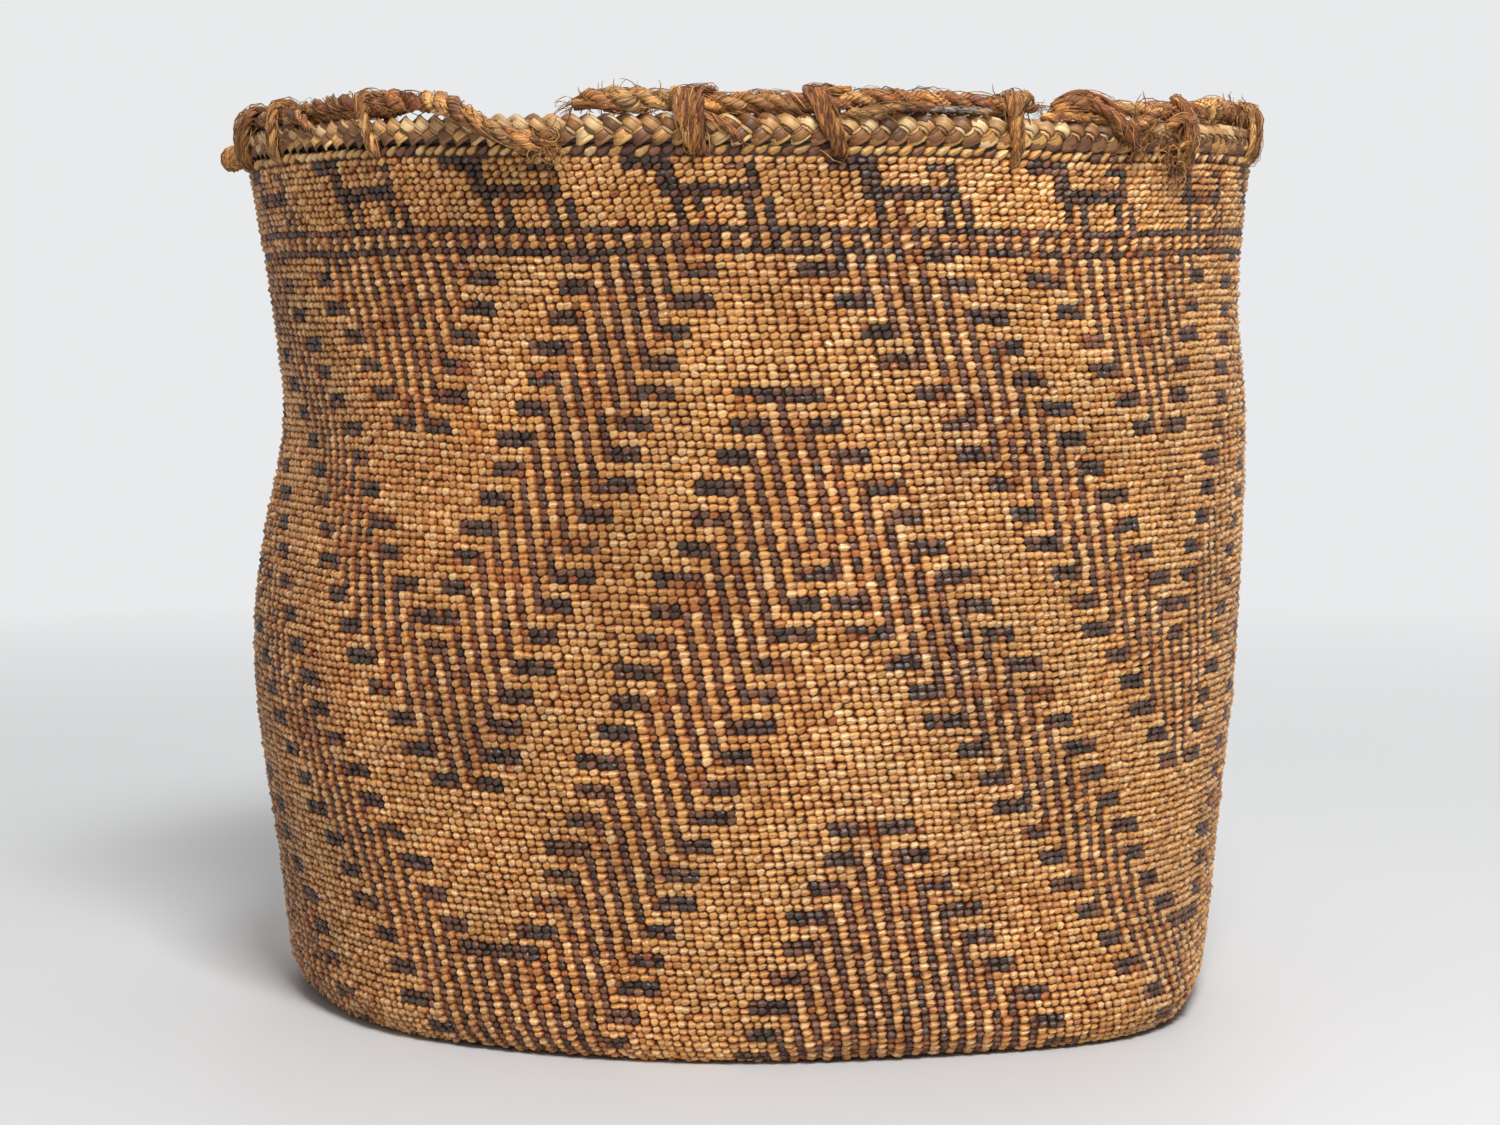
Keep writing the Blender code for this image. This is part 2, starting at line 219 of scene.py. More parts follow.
COLUMNS = 344
TOP_ROWS = 14
TOP_ROW_PITCH = 0.00203
ROWS_LIFT = 0.0009
ROW_PITCH = 0.00223
COLUMN_LEAN = 0.1657
BASE_COLUMN_PITCH = 0.0029
STITCH_TILT = 10.0
TOP_STITCH_TILT = 22.0
TILT_SPREAD = 9.0
STITCH_LIFT = 9.0
STITCH_OVERLAP_SHARE = 1.22
STITCH_TALL_SHARE = 1.24
STITCH_BULGE = 0.00175
STITCH_SINK = 0.00130
BOTTOM_SINK_SHARE = 1.3
BOTTOM_SINK = STITCH_BULGE * BOTTOM_SINK_SHARE
INNER_BULGE = 0.0011
STITCH_SPREAD_SHARE = 0.13
WANDER = 0.00021
PROBE = 0.0006
DRIFT = 0.0012
DRIFT_PER_METRE = 17.0
STITCH_OUTLINE_SHARES = (
    (0.60, 0.06),
    (0.23, 0.45),
    (-0.29, 0.49),
    (-0.51, 0.03),
    (-0.28, -0.48),
    (0.25, -0.42),
)
STITCH_SHOULDER_SHARES = (0.83, 0.60)
STITCH_RIDGE_SHARES = ((0.25, 0.09), (-0.19, 0.05))
PLAIN_OUTLINE_SHARES = ((0.54, -0.30), (0.42, 0.50), (-0.54, 0.30), (-0.42, -0.50))
PLAIN_RIDGE_SHARES = ((0.22, 0.05), (-0.22, -0.05))
STITCH_MAP_SHARE = 0.34
STITCH_TOP_MAP_SHARE = 0.9
MAP_HALF_SHARE = 0.5
LEAST_AWAY_SHARE = 0.1
STITCH_SIZE_SHARES = {
    "straw": (1.0, 1.0, 1.0),
    "between": (1.10, 1.10, 1.12),
    "stripe": (0.86, 0.98, 0.82),
    "tooth": (0.98, 1.0, 0.88),
    "line": (0.98, 1.0, 0.90),
    "animal": (0.96, 0.98, 0.90),
}
CORE_DEPTH = 0.0011
CORE_THICK = 0.0016
CORE_FOOT_SHARE = 0.3
CORE_TURNS = 104
CORE_ROWS = 64
LEAST_RING_STITCHES = 5
DARK_RINGS = (6, 7, 30, 31)
SEEDS = {
    "outer wall": 7,
    "inner wall": 11,
    "outer base": 19,
    "inner base": 23,
    "rim row": 31,
    "braid": 41,
    "cord": 61,
    "grey cord": 71,
    "tie": 81,
    "drift": 5,
}

# Without a seed, noise_vector takes its offsets from the clock, and no two runs are the same
noise.seed_set(SEEDS["drift"])

# The pattern, counted in stitches: columns are counted from a ridge of the zigzag, rows from the top

REPEAT_COLUMNS = 86
VALLEY = REPEAT_COLUMNS // 2
ROWS_PER_COLUMN = 2
BANDS = (
    {"ridge": -1, "top": -99, "bottom": -47, "highest": 14, "lowest": 38},
    {"ridge": -1, "top": -19, "bottom": 0, "highest": 999, "lowest": 84},
    {"ridge": -2, "top": 31, "bottom": 51, "highest": 106, "lowest": 999},
    {"ridge": -2, "top": 88, "bottom": 999, "highest": 999, "lowest": 999},
)
TOOTH_REACH = 3
TOOTH_CYCLE = 3
TOOTH_STEP = 7
LINE_ROWS = (10, 13)
ANIMALS = 17
ANIMAL_START = -12.4
ANIMAL_BARS = (
    (0, 4, 0, 1),
    (3, 4, 2, 5),
    (5, 12, 4, 5),
    (10, 12, 1, 1),
    (12, 12, 2, 3),
    (4, 4, 6, 9),
    (6, 6, 6, 9),
    (11, 11, 6, 9),
    (13, 13, 6, 9),
)

# Colours as they are seen, red green blue

STRAW = ("e9b474", "e2a865", "db9f59", "eebf82", "dfa560")
WORN_STRAW = ("cd8e50", "c48346", "d59956")
STRIPE = ("80563e", "704a37", "8c6046", "664433")
TOOTH = ("584336", "4a3a30", "674b3b", "403128")
RUST = ("b06a35", "b8743c", "98582e", "a46436")
ROW_STRAW = ("dcae6a", "e6c083", "cf9d59")
# Painted shade: the deep brown that each stitch's tint is multiplied by towards its outline, where it meets
# its neighbours
GAP_PAINTED_SHADE = "84431b"
# The warps behind the stitches: near-black brown, partly their own colour and partly painted shade for the
# gaps between stitches
WARP_AND_GAP_SHADE = "4a2812"
LEAF_GOLD = ("e0aa62", "cf964f", "ecc17e")
LEAF_BROWN = ("8a5a32", "70482a", "9c6a3c")
LEAF_PALE = ("dcae72", "ca975e", "e8c28c")
BARK = ("d8934e", "eab068", "b8763a", "8e5228")
BARK_RED = ("985a38", "ac6a3e")
BARKS = (BARK, BARK, BARK, BARK_RED)
BRAID_SHADE = "3a2212"
DUST = ("b9aa97", "a6978a")
FLOOR_COLOUR = "d0d1d2"
BACKDROP_COLOUR = "e9eaeb"

# How the stitches' colours change over the wall: noise per metre, and what each noise does
WARM_PER_METRE = 14.0
PATCH_PER_METRE = 95.0
PATCH_START = 0.22
WORN_PER_METRE = 36.0
BETWEEN_WORN_SHARE = 0.25
SHADE_PER_METRE = 30.0
SHADE_SHARE = 0.14
WARM_LIGHT_SHARE = 0.22
STITCH_LIGHT_SHARES = (0.87, 1.13)
# Chances of a rust or worn colour: always, and what warm places, patches and wear add
RUST_STRAW_SHARES = (0.003, 0.25)
WORN_STRAW_SHARES = (0.04, 0.36, 0.6, 0.8)
RUST_DARK_SHARES = (0.02, 0.10, 1.9)
STRIPE_SHARE = 0.9
TOOTH_SHARE = 0.72

# The usual curve from a screen's colours to light: straight in the dark, then a power
DARK_LIMIT = 0.04045
DARK_SLOPE = 12.92
CURVE_SHIFT = 0.055
CURVE_POWER = 2.4


def linear(code):
    """A colour written as six hexadecimal digits, as the shader takes it."""
    found = []
    for n in (0, 2, 4):
        part = int(code[n : n + 2], 16) / 255.0
        if part <= DARK_LIMIT:
            found.append(part / DARK_SLOPE)
        else:
            found.append(((part + CURVE_SHIFT) / (1.0 + CURVE_SHIFT)) ** CURVE_POWER)
    return found


def shaded(code, light):
    red, green, blue = linear(code)
    return (red * light, green * light, blue * light, 1.0)


# The shape of the fabric


def smooth_value(points, x):
    """Read a smooth curve through points of (place, value), flat past its two ends."""
    if x <= points[0][0]:
        return points[0][1]
    if x >= points[-1][0]:
        return points[-1][1]
    last = len(points) - 1
    n = 0
    while points[n + 1][0] < x:
        n += 1

    def slope(k):
        low = points[max(k - 1, 0)]
        high = points[min(k + 1, last)]
        return (high[1] - low[1]) / (high[0] - low[0])

    (x0, y0), (x1, y1) = points[n], points[n + 1]
    span = x1 - x0
    t = (x - x0) / span
    s = 1.0 - t
    start = y0 * s * s * (1.0 + 2.0 * t) + slope(n) * span * t * s * s
    end = y1 * t * t * (1.0 + 2.0 * s) - slope(n + 1) * span * t * t * s
    return start + end


def bump(a, degrees, half_degrees):
    apart = (math.degrees(a) - degrees + 180.0) % 360.0 - 180.0
    return math.exp(-((apart / half_degrees) ** 2))


def turned_radius(z):
    share = z / WALL_TALL
    sides = smooth_value(LEFT_SIDE_SHARES, share) + smooth_value(RIGHT_SIDE_SHARES, share)
    radius = RIM_RADIUS * sides / 2.0
    if z < CORNER_TALL:
        t = 1.0 - max(z, 0.0) / CORNER_TALL
        radius = CONTACT_RADIUS + (radius - CONTACT_RADIUS) * math.sqrt(1.0 - t * t)
    return radius


def pressed(a, z):
    share = z / WALL_TALL
    sides = smooth_value(RIGHT_SIDE_SHARES, share) - smooth_value(LEFT_SIDE_SHARES, share)
    push = sides / 2.0 * math.sin(a)
    for degrees, half_degrees, height, half_height, depth in DENT_SHARES:
        push -= depth * bump(a, degrees, half_degrees) * math.exp(-(((share - height) / half_height) ** 2))
    return RIM_RADIUS * push


def pressed_share(radius):
    seam = BASE_OVER_RADIUS + CLEARANCE
    return min(1.0, max(0.0, (radius - seam) / (CONTACT_RADIUS - seam)))


def edge_rise(a):
    return WALL_TALL * sum(rise * bump(a, degrees, half) for degrees, half, rise in EDGE_WAVE_SHARES)


def wall_middle(a, z):
    return turned_radius(z) + pressed(a, z) - WALL_THICK / 2.0


def place(a, radius, z):
    return Vector((radius * math.sin(a), -radius * math.cos(a), z))


def rim_point(degrees, out, up):
    """A point measured outward from the wall's middle and upward from the braid's centre."""
    a = math.radians(degrees)
    z = BRAID_CENTRE + up
    return place(a, wall_middle(a, min(z, BRAID_CENTRE)) + out, z + edge_rise(a))


def trace_profile(steps=400):
    """The outer face from the wall's top edge, round the corner, to the base's centre: (way, radius, z)."""
    outline = []
    for n in range(steps + 1):
        z = WALL_TALL * (1.0 - n / steps)
        outline.append((turned_radius(z), z))
    outline.append((0.0, 0.0))
    way = 0.0
    found = [(0.0, *outline[0])]
    for before, after in zip(outline, outline[1:]):
        way += math.dist(before, after)
        found.append((way, *after))
    return found


PROFILE = trace_profile()
WALL_WAY = PROFILE[-2][0]
WHOLE_WAY = PROFILE[-1][0]


def profile_at(way):
    """Radius and height on the profile, a way down the fabric from its top edge."""
    low = 0
    high = len(PROFILE) - 1
    while high - low > 1:
        middle = (low + high) // 2
        if PROFILE[middle][0] <= way:
            low = middle
        else:
            high = middle
    way0, radius0, z0 = PROFILE[low]
    way1, radius1, z1 = PROFILE[high]
    t = (way - way0) / (way1 - way0)
    return radius0 + (radius1 - radius0) * t, z0 + (z1 - z0) * t


def fabric_point(a, radius, z):
    share = z / WALL_TALL
    out = radius + pressed(a, z) * pressed_share(radius)
    return place(a, out, z + edge_rise(a) * share * share)


def row_way(row):
    """How far down the fabric the middle of a row lies."""
    if row < TOP_ROWS:
        return (row + 0.5) * TOP_ROW_PITCH - ROWS_LIFT
    return TOP_ROWS * TOP_ROW_PITCH + (row - TOP_ROWS + 0.5) * ROW_PITCH - ROWS_LIFT


# Nodes and objects


def add_node(tree, kind, **settings):
    made = tree.nodes.new(kind)
    for name, value in settings.items():
        setattr(made, name, value)
    return made


def feed(tree, node, socket, value):
    """Give a node's input a value, or a link from another node's output."""
    if isinstance(value, bpy.types.NodeSocket):
        tree.links.new(value, node.inputs[socket])
    else:
        node.inputs[socket].default_value = value


def attribute(tree, name):
    return add_node(tree, "ShaderNodeAttribute", attribute_name=name)


def scaled(tree, vector, factors):
    made = add_node(tree, "ShaderNodeVectorMath", operation="MULTIPLY")
    feed(tree, made, 0, vector)
    feed(tree, made, 1, factors)
    return made.outputs[0]


def noise_value(tree, vector, scale, detail, roughness=0.5):
    made = add_node(tree, "ShaderNodeTexNoise")
    feed(tree, made, "Vector", vector)
    feed(tree, made, "Scale", scale)
    feed(tree, made, "Detail", detail)
    feed(tree, made, "Roughness", roughness)
    return made.outputs["Fac"]


def ranged(tree, value, low, high, new_low, new_high):
    made = add_node(tree, "ShaderNodeMapRange")
    feed(tree, made, "Value", value)
    feed(tree, made, "From Min", low)
    feed(tree, made, "From Max", high)
    feed(tree, made, "To Min", new_low)
    feed(tree, made, "To Max", new_high)
    return made.outputs["Result"]


def worked(tree, operation, first, second=0.0):
    made = add_node(tree, "ShaderNodeMath", operation=operation)
    feed(tree, made, 0, first)
    feed(tree, made, 1, second)
    return made.outputs[0]


def times(tree, first, second):
    return worked(tree, "MULTIPLY", first, second)


def dimmed(tree, colour, light):
    """A colour made lighter or darker by a number that changes over the surface."""
    made = add_node(tree, "ShaderNodeVectorMath", operation="SCALE")
    feed(tree, made, 0, colour)
    feed(tree, made, "Scale", light)
    return made.outputs[0]


def mixed(tree, share, first, second):
    made = add_node(tree, "ShaderNodeMix", data_type="RGBA")
    feed(tree, made, "Factor", share)
    feed(tree, made, 6, first)
    feed(tree, made, 7, second)
    return made.outputs[2]


def bumped(tree, height, strength, distance):
    made = add_node(tree, "ShaderNodeBump")
    feed(tree, made, "Height", height)
    feed(tree, made, "Strength", strength)
    feed(tree, made, "Distance", distance)
    return made.outputs["Normal"]


def new_material(name):
    made = bpy.data.materials.new(name)
    made.use_nodes = True
    return made, made.node_tree, made.node_tree.nodes["Principled BSDF"]


def object_place(tree):
    return add_node(tree, "ShaderNodeTexCoord").outputs["Object"]


def mixed_shaders(tree, share, first, second):
    made = add_node(tree, "ShaderNodeMixShader")
    feed(tree, made, 0, share)
    feed(tree, made, 1, first)
    feed(tree, made, 2, second)
    return made.outputs[0]


def linked(name, data):
    """A new object in the scene, at the origin."""
    made = bpy.data.objects.new(name, data)
    bpy.context.scene.collection.objects.link(made)
    return made


# Finishes

STITCH_GRAIN_SCALES = (1.6, 7.0, 0.0)
STITCH_CHANGE_PER_METRE = (420.0, 420.0, 420.0)
STREAK_DETAIL = 3.0
STREAK_ROUGHNESS = 0.6
STREAK_NOISE_RANGE = (0.3, 0.7)
STREAK_LIGHT_SHARES = (0.78, 1.14)
STREAK_HEIGHT_SHARE = 0.8
FOLD_SCALE = 0.6
FOLD_WIDTH_SHARE = 0.10
# Painted shade: how dark a stitch's colour is in its fold creases, and away from them
FOLD_PAINTED_SHADE_SHARES = (0.80, 1.0)
FOLD_HEIGHT_SHARE = 0.35
# Painted shade: a stitch's colour starts to darken to the gap shade at the first distance from its middle and
# is fully dark at the second
PAINTED_EDGE_SHADE_SHARES = (0.20, 0.47)
GRIME_PER_METRE = 38.0
GRIME_NOISE_RANGE = (0.38, 0.66)
GRIME_LIGHT_SHARES = (0.86, 1.08)
STITCH_BUMP_SHARE = 0.6
STITCH_BUMP_DEPTH = 0.00022
STITCH_GLOSS = 0.45
STITCH_ROUGHNESS = (0.52, 0.28)


def stitch_finish():
    """Split straw or root: satin, with folds and fine streaks along each stitch, and painted shade: darker
    along the fold creases, and deep brown towards each stitch's outline where it meets its neighbours.
    """
    made, tree, shader = new_material("split_straw")
    tint = attribute(tree, "tint").outputs["Color"]
    grain = attribute(tree, "stitch_uv").outputs["Vector"]
    spot = object_place(tree)
    spread = add_node(tree, "ShaderNodeVectorMath", operation="ADD")
    feed(tree, spread, 0, scaled(tree, grain, STITCH_GRAIN_SCALES))
    feed(tree, spread, 1, scaled(tree, spot, STITCH_CHANGE_PER_METRE))
    streak = noise_value(tree, spread.outputs[0], 1.0, STREAK_DETAIL, STREAK_ROUGHNESS)
    fold = noise_value(tree, spread.outputs[0], FOLD_SCALE, 1.0)
    crease = worked(tree, "ABSOLUTE", ranged(tree, fold, 0.0, 1.0, -1.0, 1.0))
    folded = ranged(tree, crease, 0.0, FOLD_WIDTH_SHARE, 0.0, 1.0)
    middle = add_node(tree, "ShaderNodeVectorMath", operation="DISTANCE")
    feed(tree, middle, 0, grain)
    feed(tree, middle, 1, (MAP_HALF_SHARE, MAP_HALF_SHARE, 0.0))
    # Painted shade: none in a stitch's middle, full at its outline
    painted_edge_shade = ranged(tree, middle.outputs["Value"], *PAINTED_EDGE_SHADE_SHARES, 0.0, 1.0)
    grime = noise_value(tree, spot, GRIME_PER_METRE, STREAK_DETAIL)
    light = ranged(tree, streak, *STREAK_NOISE_RANGE, *STREAK_LIGHT_SHARES)
    light = times(tree, light, ranged(tree, grime, *GRIME_NOISE_RANGE, *GRIME_LIGHT_SHARES))
    # Painted shade along the fold creases
    light = times(tree, light, ranged(tree, folded, 0.0, 1.0, *FOLD_PAINTED_SHADE_SHARES))
    # Painted shade: at its outline a stitch's colour becomes its tint times the gap shade
    shade = scaled(tree, tint, shaded(GAP_PAINTED_SHADE, 1.0)[:3])
    feed(tree, shader, "Base Color", dimmed(tree, mixed(tree, painted_edge_shade, tint, shade), light))
    feed(tree, shader, "Roughness", ranged(tree, streak, *STREAK_NOISE_RANGE, *STITCH_ROUGHNESS))
    height = times(tree, streak, STREAK_HEIGHT_SHARE)
    height = worked(tree, "ADD", height, times(tree, folded, FOLD_HEIGHT_SHARE))
    feed(tree, shader, "Normal", bumped(tree, height, STITCH_BUMP_SHARE, STITCH_BUMP_DEPTH))
    shader.inputs["Specular IOR Level"].default_value = STITCH_GLOSS
    return made


WARP_PER_METRE = 700.0
WARP_DETAIL = 2.0
WARP_LIGHT_SHARES = (0.5, 1.3)
WARP_BUMP_SHARE = 0.5
WARP_BUMP_DEPTH = 0.0003
WARP_ROUGHNESS = 0.85


def core_finish():
    """The warps behind the stitches, near-black brown: partly their own colour and partly painted shade for
    the gaps between stitches.
    """
    made, tree, shader = new_material("dark_warps")
    value = noise_value(tree, object_place(tree), WARP_PER_METRE, WARP_DETAIL)
    dark, pale = (shaded(WARP_AND_GAP_SHADE, light) for light in WARP_LIGHT_SHARES)
    feed(tree, shader, "Base Color", mixed(tree, value, dark, pale))
    feed(tree, shader, "Normal", bumped(tree, value, WARP_BUMP_SHARE, WARP_BUMP_DEPTH))
    shader.inputs["Roughness"].default_value = WARP_ROUGHNESS
    return made


# Streaks of leaf and bark, wide and fine: how close along and around, detail, roughness, weight
STREAKS = ((1.0, 1.0, 4.0, 0.65, 0.6), (2.5, 3.2, 2.0, 0.6, 0.4))
STRAND_NOISE_RANGE = (0.38, 0.62)
STRAND_BRIGHT_SHARE = 0.5
STRAND_ROUGH_SPREAD = (0.14, -0.06)
STRAND_BUMP_SHARE = 0.8
EDGE_ROUND_SHARE = 0.25
EDGE_RANGE_SHARES = (0.05, 0.17)
STRANDS = {
    "dry_leaf": {
        "along": 0.7,
        "around": 13.0,
        "contrast": 0.40,
        "rough": 0.44,
        "depth": 0.0004,
        "edge": 0.40,
    },
    "bark_fibre": {
        "along": 0.8,
        "around": 10.0,
        "contrast": 1.04,
        "rough": 0.46,
        "depth": 0.0014,
        "edge": 1.0,
    },
}


def strand_finish(name):
    """Leaf strips and bark fibre: streaks that run along each strand, and brown along a leaf's edges."""
    made, tree, shader = new_material(name)
    strand = STRANDS[name]
    tint = attribute(tree, "tint").outputs["Color"]
    grain = attribute(tree, "strand_uv").outputs["Vector"]
    streaks = []
    for along, around, detail, roughness, weight in STREAKS:
        spread = scaled(tree, grain, (strand["along"] * along, strand["around"] * around, 0.0))
        streaks.append(times(tree, noise_value(tree, spread, 1.0, detail, roughness), weight))
    streak = worked(tree, "ADD", *streaks)
    parts = add_node(tree, "ShaderNodeSeparateXYZ")
    feed(tree, parts, 0, grain)
    aside = worked(tree, "PINGPONG", parts.outputs["Y"], EDGE_ROUND_SHARE)
    edge = ranged(tree, aside, *EDGE_RANGE_SHARES, strand["edge"], 1.0)
    contrast = strand["contrast"]
    light = ranged(tree, streak, *STRAND_NOISE_RANGE, 1.0 - contrast, 1.0 + contrast * STRAND_BRIGHT_SHARE)
    feed(tree, shader, "Base Color", dimmed(tree, tint, times(tree, light, edge)))
    rough_high, rough_low = (strand["rough"] + spread for spread in STRAND_ROUGH_SPREAD)
    feed(tree, shader, "Roughness", ranged(tree, streak, *STREAK_NOISE_RANGE, rough_high, rough_low))
    feed(tree, shader, "Normal", bumped(tree, streak, STRAND_BUMP_SHARE, strand["depth"]))
    return made


# Stitches on points


def stitch_form(name, both_sides):
    """One stitch of unit size: a folded kernel of straw, pointed at one end, made once and repeated."""
    sides = len(STITCH_OUTLINE_SHARES)
    shoulder, high = STITCH_SHOULDER_SHARES
    layers = [(1.0, 0.0), (shoulder, high)]
    if both_sides:
        layers = [(shoulder, -high)] + layers
    corners = [(x * share, y * share, z) for share, z in layers for x, y in STITCH_OUTLINE_SHARES]
    faces = []
    for layer in range(len(layers) - 1):
        for n in range(sides):
            m = (n + 1) % sides
            low = layer * sides
            faces.append((low + n, low + m, low + sides + m, low + sides + n))

    def ridge(ring, z, outward):
        right = len(corners)
        left = right + 1
        corners.extend((x, y, z) for x, y in STITCH_RIDGE_SHARES)
        cap = [
            (ring, ring + 1, right),
            (ring + 1, ring + 2, left, right),
            (ring + 2, ring + 3, left),
            (ring + 3, ring + 4, left),
            (ring + 4, ring + 5, right, left),
            (ring + 5, ring, right),
        ]
        faces.extend(cap if outward else [face[::-1] for face in cap])

    ridge((len(layers) - 1) * sides, 1.0, True)
    if both_sides:
        ridge(0, -1.0, False)
    else:
        faces.append(tuple(range(sides - 1, -1, -1)))
    return form_object(name, corners, faces)


def low_form(name):
    """A plainer stitch for the inner side: four slanted sides up to a short ridge."""
    corners = [(x, y, 0.0) for x, y in PLAIN_OUTLINE_SHARES] + [(x, y, 1.0) for x, y in PLAIN_RIDGE_SHARES]
    faces = [(0, 1, 4), (1, 2, 5, 4), (2, 3, 5), (3, 0, 4, 5), (3, 2, 1, 0)]
    return form_object(name, corners, faces)


def form_object(name, corners, faces):
    """A mesh whose map has the outline at half a unit from its middle, whatever the outline's shape."""
    mesh = bpy.data.meshes.new(name)
    mesh.from_pydata(corners, [], faces)
    mesh.shade_flat()
    layer = mesh.uv_layers.new(name="stitch_uv")
    for loop in mesh.loops:
        x, y, z = corners[loop.vertex_index]
        away = math.hypot(x, y)
        share = MAP_HALF_SHARE * (1.0 - abs(z) * STITCH_MAP_SHARE) / max(away, LEAST_AWAY_SHARE)
        if abs(z) == 1.0:
            share = MAP_HALF_SHARE * STITCH_TOP_MAP_SHARE
        layer.data[loop.index].uv = (MAP_HALF_SHARE + share * x, MAP_HALF_SHARE + share * y)
    return bpy.data.objects.new(name, mesh)


def stitch_tree():
    """Geometry nodes that put one stitch on each point, sized and turned by the point's attributes."""
    tree = bpy.data.node_groups.new("stitches_on_points", "GeometryNodeTree")
    for name, kind in (
        ("Points", "NodeSocketGeometry"),
        ("Stitch", "NodeSocketObject"),
        ("Finish", "NodeSocketMaterial"),
        ("Stitch size", "NodeSocketVector"),
        ("Size spread", "NodeSocketFloat"),
        ("Map cell", "NodeSocketFloat"),
        ("Seed", "NodeSocketInt"),
    ):
        tree.interface.new_socket(name, in_out="INPUT", socket_type=kind)
    tree.interface.new_socket("Stitches", in_out="OUTPUT", socket_type="NodeSocketGeometry")
    start = add_node(tree, "NodeGroupInput")
    end = add_node(tree, "NodeGroupOutput")

    def named(name):
        made = add_node(tree, "GeometryNodeInputNamedAttribute", data_type="FLOAT_VECTOR")
        feed(tree, made, "Name", name)
        return made.outputs["Attribute"]

    def vector_math(operation, first, second):
        made = add_node(tree, "ShaderNodeVectorMath", operation=operation)
        feed(tree, made, 0, first)
        feed(tree, made, 1, second)
        return made.outputs[0]

    form = add_node(tree, "GeometryNodeObjectInfo")
    feed(tree, form, "Object", start.outputs["Stitch"])
    turn = add_node(tree, "FunctionNodeEulerToRotation")
    feed(tree, turn, 0, named("turn"))
    spread = add_node(tree, "FunctionNodeRandomValue", data_type="FLOAT_VECTOR")
    feed(tree, spread, 0, vector_math("SUBTRACT", (1.0, 1.0, 1.0), start.outputs["Size spread"]))
    feed(tree, spread, 1, vector_math("ADD", (1.0, 1.0, 1.0), start.outputs["Size spread"]))
    feed(tree, spread, "Seed", start.outputs["Seed"])
    size = vector_math("MULTIPLY", start.outputs["Stitch size"], named("size"))
    size = vector_math("MULTIPLY", size, spread.outputs[0])
    laid = add_node(tree, "GeometryNodeInstanceOnPoints")
    feed(tree, laid, "Points", start.outputs["Points"])
    feed(tree, laid, "Instance", form.outputs["Geometry"])
    feed(tree, laid, "Rotation", turn.outputs[0])
    feed(tree, laid, "Scale", size)
    real = add_node(tree, "GeometryNodeRealizeInstances")
    feed(tree, real, "Geometry", laid.outputs[0])
    inside = vector_math("MULTIPLY", named("stitch_uv"), start.outputs["Map cell"])
    cell = vector_math("ADD", named("cell"), inside)
    mapped = add_node(tree, "GeometryNodeStoreNamedAttribute", data_type="FLOAT2", domain="CORNER")
    feed(tree, mapped, "Geometry", real.outputs[0])
    feed(tree, mapped, "Name", "OFBake")
    feed(tree, mapped, "Value", cell)
    finished = add_node(tree, "GeometryNodeSetMaterial")
    feed(tree, finished, "Geometry", mapped.outputs[0])
    feed(tree, finished, "Material", start.outputs["Finish"])
    feed(tree, end, 0, finished.outputs[0])
    return tree


def set_inputs(modifier, **values):
    for item in modifier.node_group.interface.items_tree:
        key = item.name.replace(" ", "_").lower()
        if key in values:
            modifier[item.identifier] = values[key]


def plain_object(made):
    """Replace an object's modifiers by the mesh that they give."""
    bpy.context.view_layer.update()
    graph = bpy.context.evaluated_depsgraph_get()
    mesh = bpy.data.meshes.new_from_object(made.evaluated_get(graph), depsgraph=graph)
    made.modifiers.clear()
    made.data = mesh
    return mesh


def laid_stitches(name, stitches, form, size, seed):
    """Turn a list of stitches (place, turn, size, colour) into one plain mesh."""
    mesh = bpy.data.meshes.new(name)
    mesh.from_pydata([stitch[0] for stitch in stitches], [], [])
    across = math.ceil(math.sqrt(len(stitches)))
    columns = {"turn": "FLOAT_VECTOR", "size": "FLOAT_VECTOR", "tint": "FLOAT_COLOR"}
    for index, (label, kind) in enumerate(columns.items(), start=1):
        layer = mesh.attributes.new(label, kind, "POINT")
        flat = [number for stitch in stitches for number in stitch[index]]
        layer.data.foreach_set("color" if kind == "FLOAT_COLOR" else "vector", flat)
    cells = mesh.attributes.new("cell", "FLOAT_VECTOR", "POINT")
    flat = []
    for n in range(len(stitches)):
        flat.extend((n % across / across, n // across / across, 0.0))
    cells.data.foreach_set("vector", flat)
    made = linked(name, mesh)
    modifier = made.modifiers.new("stitches", "NODES")
    modifier.node_group = STITCH_TREE
    set_inputs(
        modifier,
        stitch=form,
        finish=STITCH_FINISH,
        stitch_size=size,
        size_spread=STITCH_SPREAD_SHARE,
        map_cell=1.0 / across,
        seed=seed,
    )
    result = plain_object(made)
    for label in ("turn", "size", "cell"):
        result.attributes.remove(result.attributes[label])
    return made


# Which stitches are dark


def band_rows(band, d):
    """First and last row of a band's stripe at a number of columns from the ridge."""
    top = min(ROWS_PER_COLUMN * d + band["top"], band["highest"])
    bottom = min(ROWS_PER_COLUMN * d + band["bottom"], band["lowest"])
    return top, bottom


def reaches(column, reach):
    """Whether the tooth of the stripe at a column is at least so many stitches long."""
    return reach <= TOOTH_REACH + (column * TOOTH_STEP % TOOTH_CYCLE == 1)


